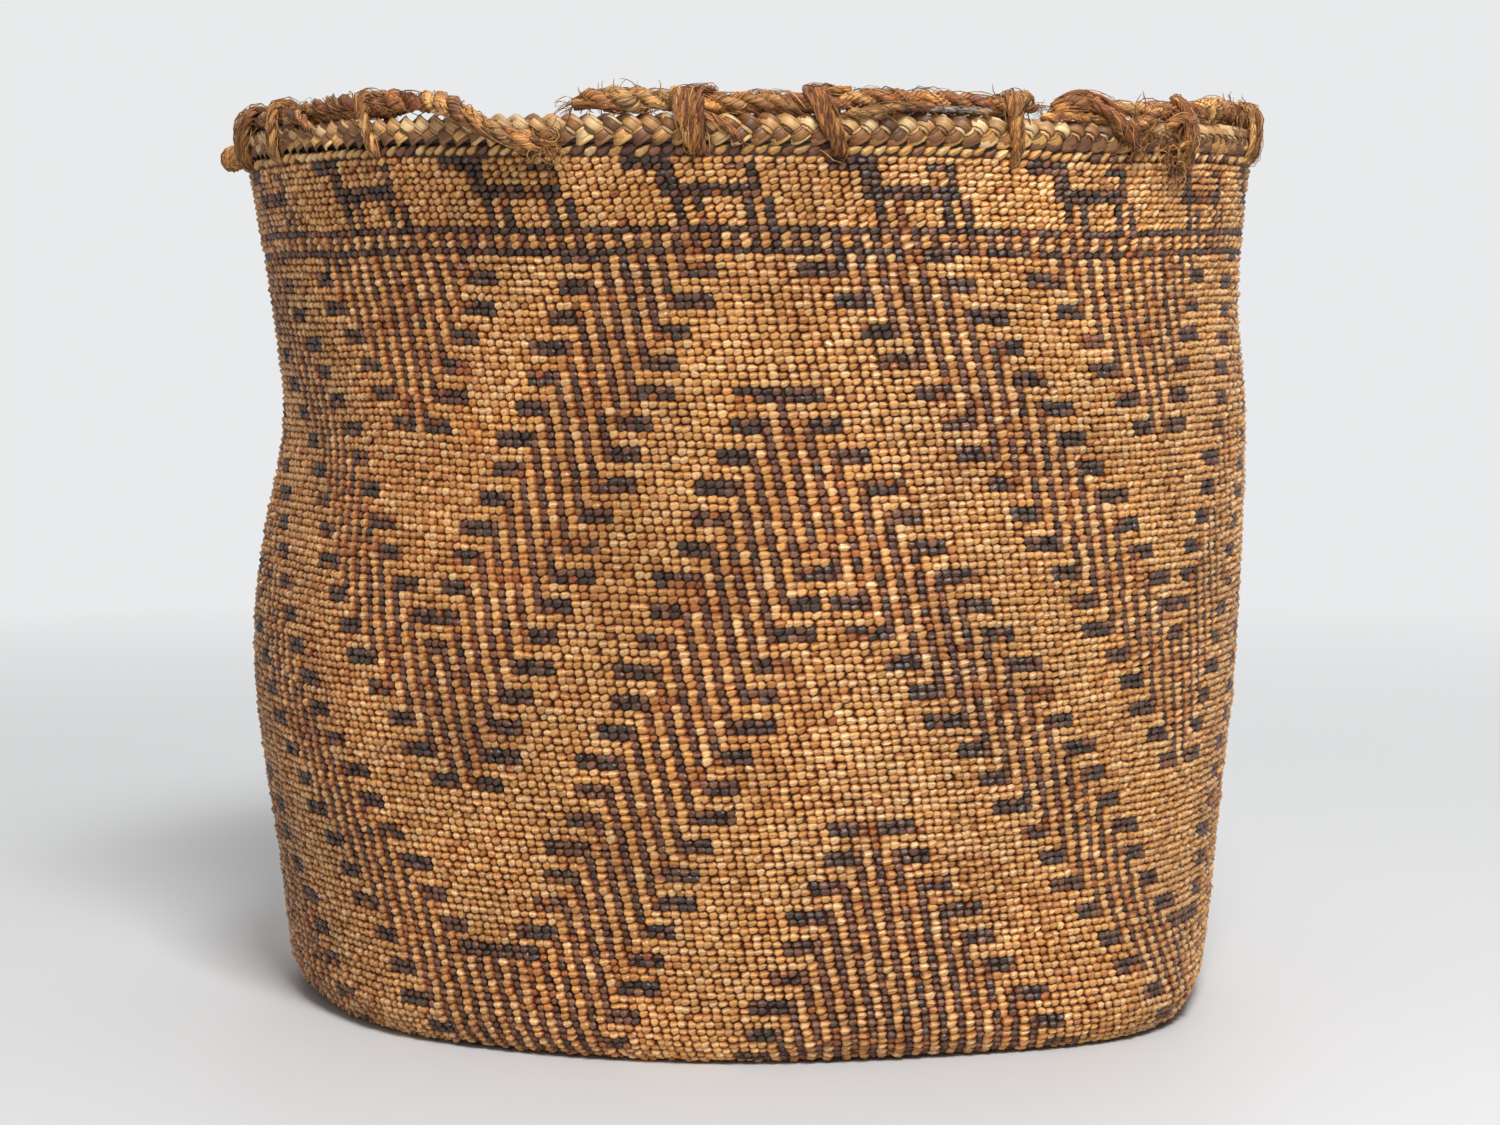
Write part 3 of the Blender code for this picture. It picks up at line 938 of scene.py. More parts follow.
def band_kind(band, column, row):
    ridge = (column - band["ridge"] + VALLEY) % REPEAT_COLUMNS - VALLEY
    d = abs(ridge)
    side = 1 if ridge > 0 else -1
    top, bottom = band_rows(band, d)
    if d % 2 == 0 and top <= row <= bottom:
        return "stripe"
    for reach in range(1, TOOTH_REACH + 2):
        inner = d - reach
        if inner >= 0 and inner % 2 == 0 and reaches(column - side * reach, reach):
            if 0 <= row - band_rows(band, inner)[0] <= 1:
                return "tooth"
        outer = d + reach
        if outer < VALLEY and outer % 2 == 0 and reaches(column + side * reach, reach):
            if 0 <= band_rows(band, outer)[1] - row <= 1:
                return "tooth"
    return "between" if top <= row <= bottom else "straw"


def pattern_kind(column, row):
    """What the stitch at a column and row is: straw, stripe, tooth, line or animal."""
    if row < LINE_ROWS[0]:
        along = int((column - ANIMAL_START) % (COLUMNS / ANIMALS))
        for first, last, top, bottom in ANIMAL_BARS:
            if first <= along <= last and top <= row <= bottom:
                return "animal"
        return "straw"
    if row in LINE_ROWS:
        return "line"
    if row < LINE_ROWS[1]:
        return "stripe" if column % 2 else "between"
    for band in BANDS:
        kind = band_kind(band, column, row)
        if kind != "straw":
            return kind
    return "straw"


def stitch_colour(kind, where, chance):
    """A stitch's colour: its kind's palette, with rust, wear and slow change over the wall."""
    warm = noise.noise(where * WARM_PER_METRE)
    patch = max(0.0, noise.noise(where * PATCH_PER_METRE) - PATCH_START)
    worn = max(0.0, noise.noise(where * WORN_PER_METRE)) + BETWEEN_WORN_SHARE * (kind == "between")
    luck = chance.random()
    if kind in ("straw", "between"):
        always, by_patch = RUST_STRAW_SHARES
        rust = always + by_patch * patch * (kind == "between")
        always, by_warm, by_patch, by_wear = WORN_STRAW_SHARES
        aged = always + by_warm * max(warm, 0.0) + by_patch * patch + by_wear * worn
        palette = RUST if luck < rust else WORN_STRAW if luck < aged else STRAW
    else:
        always, by_warm, by_patch = RUST_DARK_SHARES
        if luck < always + by_warm * max(warm, 0.0) + by_patch * patch:
            palette = RUST
        elif kind == "stripe":
            palette = STRIPE if luck < STRIPE_SHARE else TOOTH
        else:
            palette = TOOTH if luck < TOOTH_SHARE else STRIPE
    shade = 1.0 + SHADE_SHARE * noise.noise(where * SHADE_PER_METRE)
    light = chance.uniform(*STITCH_LIGHT_SHARES) * shade * (1.0 + WARM_LIGHT_SHARE * warm)
    return shaded(chance.choice(palette), light)


# The wall's and base's stitches


def fabric_rise(a, radius, z):
    """A short step up the fabric, or outward under the base."""
    if z > 0.0:
        above = fabric_point(a, turned_radius(z + PROBE), z + PROBE)
    else:
        above = fabric_point(a, radius + PROBE, 0.0)
    if z > PROBE:
        return above - fabric_point(a, turned_radius(z - PROBE), z - PROBE)
    return above - fabric_point(a, radius - PROBE, 0.0)


def lay_stitch(a, radius, z, tilt, chance, inward):
    """Place and turn of one stitch on the outer face, or on the inner face behind it."""
    here = fabric_point(a, radius, z)
    east = fabric_point(a + PROBE / radius, radius, z) - fabric_point(a - PROBE / radius, radius, z)
    out = east.cross(fabric_rise(a, radius, z)).normalized()
    east.normalize()
    if inward:
        here = here - out * WALL_THICK
        out = -out
        east = -east
    across = Matrix((east, out.cross(east), out)).transposed()
    turn = Matrix.Rotation(math.radians(tilt + chance.gauss(0.0, TILT_SPREAD)), 3, "Z")
    turn = turn @ Matrix.Rotation(math.radians(chance.gauss(0.0, TILT_SPREAD)), 3, "X")
    turn = turn @ Matrix.Rotation(-math.radians(chance.gauss(STITCH_LIFT, TILT_SPREAD / 2.0)), 3, "Y")
    drift = noise.noise_vector(here * DRIFT_PER_METRE) * DRIFT * min(1.0, z / CORNER_TALL)
    here += east * drift.x + out.cross(east) * drift.z * min(1.0, (WALL_TALL - z) / CORNER_TALL)
    here += east * chance.gauss(0.0, WANDER) + out * chance.gauss(0.0, WANDER)
    return here, (across @ turn).to_euler(), out


def wall_stitches(inward):
    """Every stitch of the wall, as (angle, place, turn, size, colour)."""
    chance = random.Random(SEEDS["inner wall" if inward else "outer wall"])
    found = []
    row = 0
    while row_way(row) < WALL_WAY:
        radius, z = profile_at(row_way(row))
        top = row < TOP_ROWS
        tilt = TOP_STITCH_TILT if top else STITCH_TILT
        tall = TOP_ROW_PITCH if top else ROW_PITCH
        pitch = TURN * radius / COLUMNS
        low = max(0.0, 1.0 - z / CORNER_TALL)
        sink = INNER_BULGE if inward else STITCH_SINK + (BOTTOM_SINK - STITCH_SINK) * low
        for n in range(COLUMNS):
            column = n - COLUMNS // 2
            a = TURN * (column + COLUMN_LEAN * row) / COLUMNS
            kind = pattern_kind(column, row)
            here, turn, out = lay_stitch(a, radius, z, tilt, chance, inward)
            wide, high, deep = STITCH_SIZE_SHARES[kind]
            size = (pitch * STITCH_OVERLAP_SHARE * wide, tall * STITCH_TALL_SHARE * high, deep)
            colour = stitch_colour(kind, here, chance)
            found.append((a, here - out * sink, turn, size, colour))
        row += 1
    return found


def base_stitches(inward):
    """The base's rings of stitches, from the corner to the centre."""
    chance = random.Random(SEEDS["inner base" if inward else "outer base"])
    found = []
    way = WALL_WAY + ROW_PITCH / 2.0
    ring = 0
    while way < WHOLE_WAY - ROW_PITCH:
        radius, z = profile_at(way)
        count = max(LEAST_RING_STITCHES, round(TURN * radius / BASE_COLUMN_PITCH))
        size = (TURN * radius / count * STITCH_OVERLAP_SHARE, ROW_PITCH * STITCH_TALL_SHARE, 1.0)
        kind = "line" if ring in DARK_RINGS else "straw"
        for n in range(count):
            a = TURN * (n + COLUMN_LEAN * ring) / count
            here, turn, out = lay_stitch(a, radius, 0.0, STITCH_TILT, chance, False)
            here.z = BOTTOM_SINK
            if inward:
                here.z = BASE_THICK - INNER_BULGE
                turn = (Matrix.Rotation(math.pi, 3, "X") @ turn.to_matrix()).to_euler()
            found.append((a, here, turn, size, stitch_colour(kind, here, chance)))
        way += ROW_PITCH
        ring += 1
    return found


def split_stitches(stitches, names):
    """Share stitches out among as many equal sectors as there are names, the first centred on the front."""
    count = len(names)
    shares = {name: [] for name in names}
    for a, *stitch in stitches:
        sector = round(a / TURN * count) % count
        shares[names[sector]].append(stitch)
    return shares


def finish_piece(made, slot, *nodes):
    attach(made, "root")
    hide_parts(*nodes)


# The wall's two faces: name, inward or not, its pieces round the wall, height of a stitch, first seed
WALL_FACES = (
    (
        "wall_stitches",
        False,
        ("front", "front_right", "right", "rear_right", "rear", "rear_left", "left", "front_left"),
        STITCH_BULGE,
        0,
    ),
    ("inner_stitches", True, ("front", "right", "rear", "left"), INNER_BULGE, 20),
)
BASE_FACES = (("under", False, STITCH_BULGE, 40), ("inside", True, INNER_BULGE, 41))


def make_wall():
    for label, inward, names, bulge, seed in WALL_FACES:
        form = LOW_FORM if inward else FULL_FORM
        for index, (name, stitches) in enumerate(split_stitches(wall_stitches(inward), names).items()):
            made = laid_stitches(f"{label}_{name}", stitches, form, (1.0, 1.0, bulge), seed + index)
            finish_piece(made, "wall", "wall")


def make_base():
    for name, inward, bulge, seed in BASE_FACES:
        stitches = [stitch[1:] for stitch in base_stitches(inward)]
        made = laid_stitches(f"base_stitches_{name}", stitches, LOW_FORM, (1.0, 1.0, bulge), seed)
        finish_piece(made, "base", "base")


def make_core():
    """The warps behind the stitches, as one dark shell from the wall's top to the base's centre; its
    near-black colour is partly painted shade for the gaps between stitches.
    """
    corners = []
    for row in range(CORE_ROWS):
        radius, z = profile_at(WHOLE_WAY * row / CORE_ROWS)
        for n in range(CORE_TURNS):
            a = TURN * n / CORE_TURNS
            point = fabric_point(a, radius, z)
            inner = place(a, math.hypot(point.x, point.y) - CORE_DEPTH, point.z)
            if z < CORNER_TALL:
                inner.z = max(inner.z, CORE_DEPTH * (1.0 + (CORNER_TALL - z) / CORNER_TALL * CORE_FOOT_SHARE))
            corners.append(inner)
    faces = []
    for row in range(CORE_ROWS - 1):
        low = row * CORE_TURNS
        for n in range(CORE_TURNS):
            m = (n + 1) % CORE_TURNS
            faces.append((low + n, low + CORE_TURNS + n, low + CORE_TURNS + m, low + m))
    corners.append(Vector((0.0, 0.0, CORE_DEPTH * (1.0 + CORE_FOOT_SHARE))))
    last = (CORE_ROWS - 1) * CORE_TURNS
    for n in range(CORE_TURNS):
        faces.append((last + n, len(corners) - 1, last + (n + 1) % CORE_TURNS))
    mesh = bpy.data.meshes.new("warps")
    mesh.from_pydata(corners, [], faces)
    mesh.shade_smooth()
    mesh.materials.append(CORE_FINISH)
    made = linked("warps", mesh)
    wall = made.modifiers.new("thickness", "SOLIDIFY")
    wall.thickness = CORE_THICK
    wall.offset = -1.0
    plain_object(made)
    finish_piece(made, "wall", "wall", "base")


# Strands: tubes gathered into one mesh

STRAND_MAP_LENGTH = 0.010
FIRST_FACING = (0.31, 0.52, 0.80)
BAKE_MARGIN_SHARE = 0.01
STRIP_MARGIN_SHARE = 0.06
ROUND = 2.0


def waver(x, y=0.0, z=0.0):
    """A number that changes smoothly and at random from place to place, from about -1 to 1."""
    return noise.noise(Vector((x, y, z)))


def squared_turn(turn, squareness):
    """A point on a circle of unit radius, or on one that is nearer to a square when squareness is over 2."""
    power = 2.0 / squareness
    return [math.copysign(abs(part) ** power, part) for part in (math.cos(turn), math.sin(turn))]


def round_outline(sides, squareness=ROUND, lobes=0, lobe_share=0.0):
    """Points round a strand's section, of unit half width."""
    found = []
    for n in range(sides):
        turn = TURN * n / sides
        x, y = squared_turn(turn, squareness)
        swell = 1.0 + lobe_share * math.cos(lobes * turn)
        found.append((x * swell, y * swell))
    return found


class Bundle:
    """Tubes gathered into one mesh, with a colour at each ring and a bake map of strips."""

    def __init__(self, name, light=1.0):
        self.name = name
        # The bundle's light share lightens all its colours: painted light, used to make some cords lighter
        # where more light falls on them
        self.light = light
        self.corners = []
        self.faces = []
        self.tints = []
        self.bake = []
        self.grain = []
        self.strips = 0

    def add(self, points, wide, thick, tints, outline, closed=False, facing=None, strips=1, twist=0.0):
        """Sweep an outline along points. Widths, thicknesses and colours are one for each point."""
        count = len(points)
        sides = len(outline)
        first = len(self.corners)
        hint = facing[0] if facing else Vector(FIRST_FACING)
        way = 0.0
        ways = []
        for i, point in enumerate(points):
            before = points[i - 1] if closed or i else point
            after = points[(i + 1) % count] if closed or i + 1 < count else point
            along = (after - before).normalized()
            if facing:
                hint = facing[i]
            through = (hint - along * hint.dot(along)).normalized()
            across = through.cross(along)
            hint = through
            if i:
                way += (point - points[i - 1]).length
            ways.append(way)
            cosine = math.cos(twist * way)
            sine = math.sin(twist * way)
            colour = [part * self.light for part in tints[i][:3]] + [1.0]
            for x, y in outline:
                u = (x * cosine - y * sine) * wide[i]
                v = (x * sine + y * cosine) * thick[i]
                self.corners.append(point + across * u + through * v)
                self.tints.extend(colour)
        spans = count if closed else count - 1
        per = math.ceil(spans / strips)
        for i in range(spans):
            here = first + i * sides
            there = first + (i + 1) % count * sides
            strip = self.strips + i // per
            u0 = (i % per) / per
            u1 = u0 + 1.0 / per
            g0 = ways[i]
            g1 = ways[i + 1] if i + 1 < count else ways[i] + (points[0] - points[i]).length
            for j in range(sides):
                k = (j + 1) % sides
                self.faces.append((here + j, here + k, there + k, there + j))
                v0 = j / sides
                v1 = (j + 1) / sides
                self.bake.extend(((u0, strip, v0), (u0, strip, v1), (u1, strip, v1), (u1, strip, v0)))
                self.grain.extend(((g0, v0), (g0, v1), (g1, v1), (g1, v0)))
        if not closed:
            last = first + (count - 1) * sides
            self.faces.append(tuple(range(first + sides - 1, first - 1, -1)))
            self.faces.append(tuple(range(last, last + sides)))
            for way, u, end_strip in ((ways[0], 0.0, self.strips), (ways[-1], 1.0, strip)):
                self.bake.extend([(u, end_strip, MAP_HALF_SHARE)] * sides)
                self.grain.extend([(way, MAP_HALF_SHARE)] * sides)
        self.strips += strips

    def make(self, finish):
        mesh = bpy.data.meshes.new(self.name)
        mesh.from_pydata(self.corners, [], self.faces)
        mesh.shade_smooth()
        mesh.attributes.new("tint", "FLOAT_COLOR", "POINT").data.foreach_set("color", self.tints)
        long = 1.0 - 2.0 * BAKE_MARGIN_SHARE
        tall = 1.0 - 2.0 * STRIP_MARGIN_SHARE
        bake = []
        for u, strip, v in self.bake:
            bake.extend((BAKE_MARGIN_SHARE + long * u, (strip + STRIP_MARGIN_SHARE + tall * v) / self.strips))
        grain = [number for way, v in self.grain for number in (way / STRAND_MAP_LENGTH, v)]
        for label, flat in (("OFBake", bake), ("strand_uv", grain)):
            mesh.uv_layers.new(name=label).data.foreach_set("uv", flat)
        mesh.materials.append(finish)
        return linked(self.name, mesh)


def blended(first, second, share):
    return tuple(f + (s - f) * share for f, s in zip(first, second))


# The heavier row under the braid

ROW_STITCHES = 268
ROW_STITCH_SIZE = (0.0054, 0.0028, 0.0027)
ROW_STITCH_TILT = 28.0
ROW_TILT_SPREAD = 4.0
# Half height of the dark ring of painted shade behind the rim row's stitches
ROW_SHADE_RING_HALF_TALL = 0.0046
ROW_DARK_STEP = 0.11
ROW_DARK_PLACE = 3.0
ROW_DARK_LIMIT = 0.05
ROW_DARK_SHARE = 0.10
ROW_LIGHT_SHARES = (0.85, 1.12)
ROW_SPREAD_SEED = 60


def make_rim_row():
    chance = random.Random(SEEDS["rim row"])
    stitches = []
    z = WALL_TALL + CLEARANCE + ROW_TALL / 2.0 + ROWS_LIFT
    for n in range(ROW_STITCHES):
        a = TURN * n / ROW_STITCHES
        here = place(a, wall_middle(a, z), z + edge_rise(a) + chance.gauss(0.0, WANDER))
        east = Vector((math.cos(a), math.sin(a), 0.0))
        across = Matrix((east, Vector((0.0, 0.0, 1.0)), place(a, 1.0, 0.0))).transposed()
        tilt = Matrix.Rotation(math.radians(ROW_STITCH_TILT + chance.gauss(0.0, ROW_TILT_SPREAD)), 3, "Z")
        dark = waver(n * ROW_DARK_STEP, ROW_DARK_PLACE) > ROW_DARK_LIMIT and n % 2
        palette = STRIPE if dark or chance.random() < ROW_DARK_SHARE else ROW_STRAW
        colour = shaded(chance.choice(palette), chance.uniform(*ROW_LIGHT_SHARES))
        stitches.append((here, (across @ tilt).to_euler(), (1.0, 1.0, 1.0), colour))
    made = laid_stitches("rim_row_stitches", stitches, DOUBLE_FORM, ROW_STITCH_SIZE, ROW_SPREAD_SEED)
    finish_piece(made, "rim_row", "rim_row")
    # A dark ring behind the row's stitches, for the warp ends; its near-black colour is painted shade in the
    # gaps between them
    bundle = Bundle("rim_row_warps")
    add_dark_ring(bundle, ROW_TOP, ROW_SHADE_RING_HALF_TALL)
    finish_piece(bundle.make(LEAF_FINISH), "rim_row", "rim_row")


# The braid

BRAID_STEPS = 14
BRAID_SWING = 0.0027
BRAID_WEAVE = 0.0019
BRAID_STRAIGHT_SHARE = 0.97
BRAID_SLOTS = ("braid_pale", "braid_brown", "braid_gold")
LEAF_HALF_WIDE = 0.00215
LEAF_NARROW_SHARE = 0.92
LEAF_HALF_THICK = 0.00036
LEAF_SIDES = 6
LEAF_SQUARENESS = 5.0
LEAF_STRIPS = 16
# The leaf strips of a strand: share of its half width aside, height outward, share of its width
LEAF_LAYERS = ((-0.52, 0.00040, 0.62), (0.50, 0.00024, 0.58), (0.02, 0.00082, 0.66))
LEAF_ROLL_SHARE = 0.30
LEAF_LIGHT_SHARES = (0.78, 1.12)
# Which palette a crossing takes: the first whose share is over a random number
UPPER_LEAF_SHARES = ((LEAF_PALE, 0.75), (LEAF_BROWN, 1.0))
LOWER_LEAF_SHARES = ((LEAF_GOLD, 0.30), (LEAF_BROWN, 0.96), (LEAF_PALE, 1.0))
WOBBLE_STEP = 1.7
WOBBLE_APART = 5.0
ASIDE_WOBBLE_SHARE = 0.2
LIFT_WOBBLE_SHARE = 0.6
WIDE_WOBBLE_SHARE = 0.16
THICK_WOBBLE_SHARE = 0.2
RING_STEPS = 240
RING_HALF_THICK = 0.0009
RING_SIDES = 8
RING_SQUARENESS = 3.0
RING_STRIPS = 4
# The dark ring behind the braid, painted shade in the gaps between its strands: the strand whose piece holds
# it, its half height, its drop below the braid's centre
BRAID_RING_STRAND = 1
BRAID_RING_HALF_TALL = 0.0034
BRAID_RING_DROP = 0.0006


def leaf_colours(chance, palette_shares):
    """One colour for each crossing of the braid, picked from palettes by chance."""
    found = []
    for _ in range(BRAID_PERIODS + 2):
        luck = chance.random()
        palette = next(choice for choice, limit in palette_shares if luck < limit)
        found.append(shaded(chance.choice(palette), chance.uniform(*LEAF_LIGHT_SHARES)))
    return found


def add_dark_ring(bundle, z, half_tall):
    """A flat dark ring inside the rim, behind strands or stitches: it stands for the warp ends, and its
    near-black colour is painted shade in the gaps between them.
    """
    points = []
    facing = []
    for n in range(RING_STEPS):
        a = TURN * n / RING_STEPS
        points.append(place(a, wall_middle(a, min(z, BRAID_CENTRE)), z + edge_rise(a)))
        facing.append(place(a, 1.0, 0.0))
    wide = [half_tall] * RING_STEPS
    thick = [RING_HALF_THICK] * RING_STEPS
    tints = [shaded(BRAID_SHADE, 1.0)] * RING_STEPS
    outline = round_outline(RING_SIDES, RING_SQUARENESS)
    bundle.add(points, wide, thick, tints, outline, closed=True, facing=facing, strips=RING_STRIPS)


def add_leaf(bundle, index, layer, chance):
    """One leaf strip of a strand, right round the rim, over and under the other strands."""
    aside, lift, share = LEAF_LAYERS[layer]
    uppers = leaf_colours(chance, UPPER_LEAF_SHARES)
    lowers = leaf_colours(chance, LOWER_LEAF_SHARES)
    steps = BRAID_PERIODS * BRAID_STEPS
    points, wide, thick, tints, facing = [], [], [], [], []
    for n in range(steps):
        a = TURN * (n + 0.5) / steps
        cycle = BRAID_PERIODS * a / TURN + index / BRAID_STRANDS
        phase = TURN * cycle
        wobble = waver(cycle * WOBBLE_STEP, index * WOBBLE_APART + layer)
        swing = math.sin(phase)
        straight = math.asin(BRAID_STRAIGHT_SHARE * swing) / math.asin(BRAID_STRAIGHT_SHARE)
        swing = (swing + straight) / 2.0
        width = LEAF_HALF_WIDE * (1.0 if swing > 0.0 else 1.0 + (LEAF_NARROW_SHARE - 1.0) * -swing)
        slope = BRAID_SWING * math.cos(phase) * BRAID_PERIODS / RIM_RADIUS
        length = math.hypot(1.0, slope)
        step = aside * width * (1.0 + ASIDE_WOBBLE_SHARE * wobble)
        turn = a - step * slope / length / RIM_RADIUS
        out = -BRAID_WEAVE * math.sin(2.0 * phase) + lift * (1.0 + LIFT_WOBBLE_SHARE * wobble)
        up = BRAID_SWING * swing + step / length
        radius = wall_middle(turn, BRAID_CENTRE) + out
        points.append(place(turn, radius, BRAID_CENTRE + edge_rise(turn) + up))
        facing.append(place(turn, 1.0, LEAF_ROLL_SHARE * swing).normalized())
        number = int(cycle) % BRAID_PERIODS
        tints.append(uppers[number] if cycle % 1.0 < 0.5 else lowers[number])
        wide.append(width * share * (1.0 + WIDE_WOBBLE_SHARE * wobble))
        thick.append(LEAF_HALF_THICK * (1.0 + THICK_WOBBLE_SHARE * wobble))
    outline = round_outline(LEAF_SIDES, LEAF_SQUARENESS)
    bundle.add(points, wide, thick, tints, outline, closed=True, facing=facing, strips=LEAF_STRIPS)


def make_braid():
    """Three strands, each of layered leaf strips, that weave over and under each other."""
    for index, slot in enumerate(BRAID_SLOTS):
        chance = random.Random(SEEDS["braid"] + index)
        bundle = Bundle(f"braid_leaf_{index + 1}")
        for layer in range(len(LEAF_LAYERS)):
            add_leaf(bundle, index, layer, chance)
        # A dark ring behind the braid: painted shade in the gaps between the strands
        if index == BRAID_RING_STRAND:
            add_dark_ring(bundle, BRAID_CENTRE - BRAID_RING_DROP, BRAID_RING_HALF_TALL)
        finish_piece(bundle.make(LEAF_FINISH), slot, f"braid_strand_{index + 1}")


# The bark cord

# Routes: points along them, and how closely their curves are followed
CORD_SPACING = 0.0011
SHORT_SPACING = 0.00088
LEAST_SPANS = 3
ROUNDING = 1e-9
ROUTE_STEPS = 12
STRETCH_STEPS = 40
CORD_REACH = 0.00265
# Painted light: shares that make some cords' colours lighter, the right-hand cord most, for the stronger
# light that falls on it
CORD_PAINTED_LIGHT_SHARES = {"lacing_cord_front": 1.02, "lacing_cord_right": 1.34}
BARK_LIGHT_RANGE_SHARES = (0.62, 1.46)
BARK_STRETCH = 12
# Plies of a rope
PLY_PITCH = 0.0150
# A ply's offset and radius as shares of the rope's reach, by the number of plies
PLY_SHARES = {2: (0.42, 0.60), 3: (0.52, 0.50)}
PLY_LOBES = 5
TIE_PLY_LOBES = 4
PLY_LOBE_SHARE = 0.15
PLY_TWIST = 700.0
PLY_END_SHARE = 0.55
PLY_LUMP_SHARE = 0.16
PLY_LUMP_STEP = 0.16
PLY_LUMP_PLACES = (7.0, 50.0)
PLY_STRIP_STEPS = 40
# Single fibres, and those that lie loose round a cord
FIBRE_RADIUS = 0.00013
FIBRE_SIDES = 3
FIBRE_END_SHARE = 0.25
FIBRE_LIGHT_SHARES = (0.75, 1.45)
FIBRE_RED_SHARE = 0.7
FIBRE_WIDE_SHARES = (0.7, 2.0)
LOOSE_STEPS = (6, 20)
LOOSE_RATES = (0.05, 0.5)
LOOSE_LIFT = 0.0007
LOOSE_REACH_SHARE = 0.95
# Frayed ends of cords and of short ropes
FRAY_LENGTH = 0.0048
FRAY_STEPS = 5
FRAY_FIBRES = 26
FRAY_SPREAD = 0.40
FRAY_BEND = 0.35
FRAY_SAG_SPREAD = 0.30
FRAY_START = 0.0009
FRAY_LENGTH_SHARES = (0.3, 1.0)
FRAY_WIDE_SHARES = (0.6, 1.4)
SHORT_FRAY_LENGTH = 0.0024
SHORT_FRAY_FIBRES = 14
# Strands of a hank
HANK_STRAND_RADIUS = 0.00074
HANK_RATES = (0.02, 0.12)
HANK_AWAY_SHARES = (0.55, 1.0)
HANK_WIDE_SHARES = (0.6, 1.25)
HANK_PLACES = (0.0, 99.0)
HANK_CLOSE_SHARE = 0.55
HANK_STRAY_SHARE = 0.35
HANK_STRAY_STEP = 0.2
HANK_END_SHARE = 0.5
HANK_FLAT_SHARE = 0.7
HANK_LOBES = 3
HANK_LOBE_SHARE = 0.1
# The strand of a knot
KNOT_TURNS = 5
KNOT_TURN_STEPS = 18
KNOT_STRAND_SHARE = 0.40
KNOT_STRAY_SHARE = 0.12
KNOT_STRAY_STEP = 0.1
KNOT_STRAY_PER_METRE = 9000.0
KNOT_SWELL_SHARE = 0.2
KNOT_SWELL_STEP = 0.15
KNOT_SWELL_PLACE = 5.0
KNOT_SWELL_PER_METRE = 7000.0
KNOT_LOBES = 5
KNOT_LOBE_SHARE = 0.16
KNOT_STRIPS = 3
# Fibres of a tangle
TANGLE_POINTS = 9
TANGLE_CURL = 0.9
TANGLE_STRIDES = (0.0006, 0.0013)
TANGLE_FLAT_SHARE = 0.8
TANGLE_STRAY = 0.00018
TANGLE_CURL_SHARE = 0.6
# The grey cord
GREY_CORD_SPACING = 0.0008
GREY_REACH_SHARE = 1.3
GREY_FIBRES = 70
GREY_FIBRE_POINTS = 8
GREY_FIBRE_STRAY = 0.0006
GREY_LIGHT_SHARES = (0.9, 1.3)
# Knots on the cords: cord, degrees, outward, upward, size
KNOTS = (
    ("lacing_cord_rear_left", -90.0, 0.0078, -0.0022, 0.0036),
    ("lacing_cord_rear_left", -82.0, 0.0012, 0.0058, 0.0020),
    ("lacing_cord_left", -57.0, 0.0, 0.0068, 0.0025),
    ("lacing_cord_left", -39.9, 0.0002, 0.0094, 0.0030),
    ("lacing_cord_left", -22.6, 0.0056, -0.0034, 0.0029),
    ("lacing_cord_front", 29.4, 0.0, 0.0096, 0.0028),
    ("lacing_cord_right", 47.6, 0.0016, 0.0072, 0.0017),
    ("lacing_cord_rear", 176.0, 0.0, 0.0108, 0.0028),
)
# Hanks of loose strands: cord, first and last degrees, half width, strands
HANKS = (
    ("lacing_cord_left", -36.0, -20.5, 0.0026, 12),
    ("lacing_cord_left", -70.0, -63.0, 0.0024, 8),
    ("lacing_cord_front", -18.0, -8.5, 0.0034, 16),
    ("lacing_cord_right", 33.4, 42.5, 0.0030, 14),
    ("lacing_cord_right", 56.5, 71.0, 0.0026, 10),
)
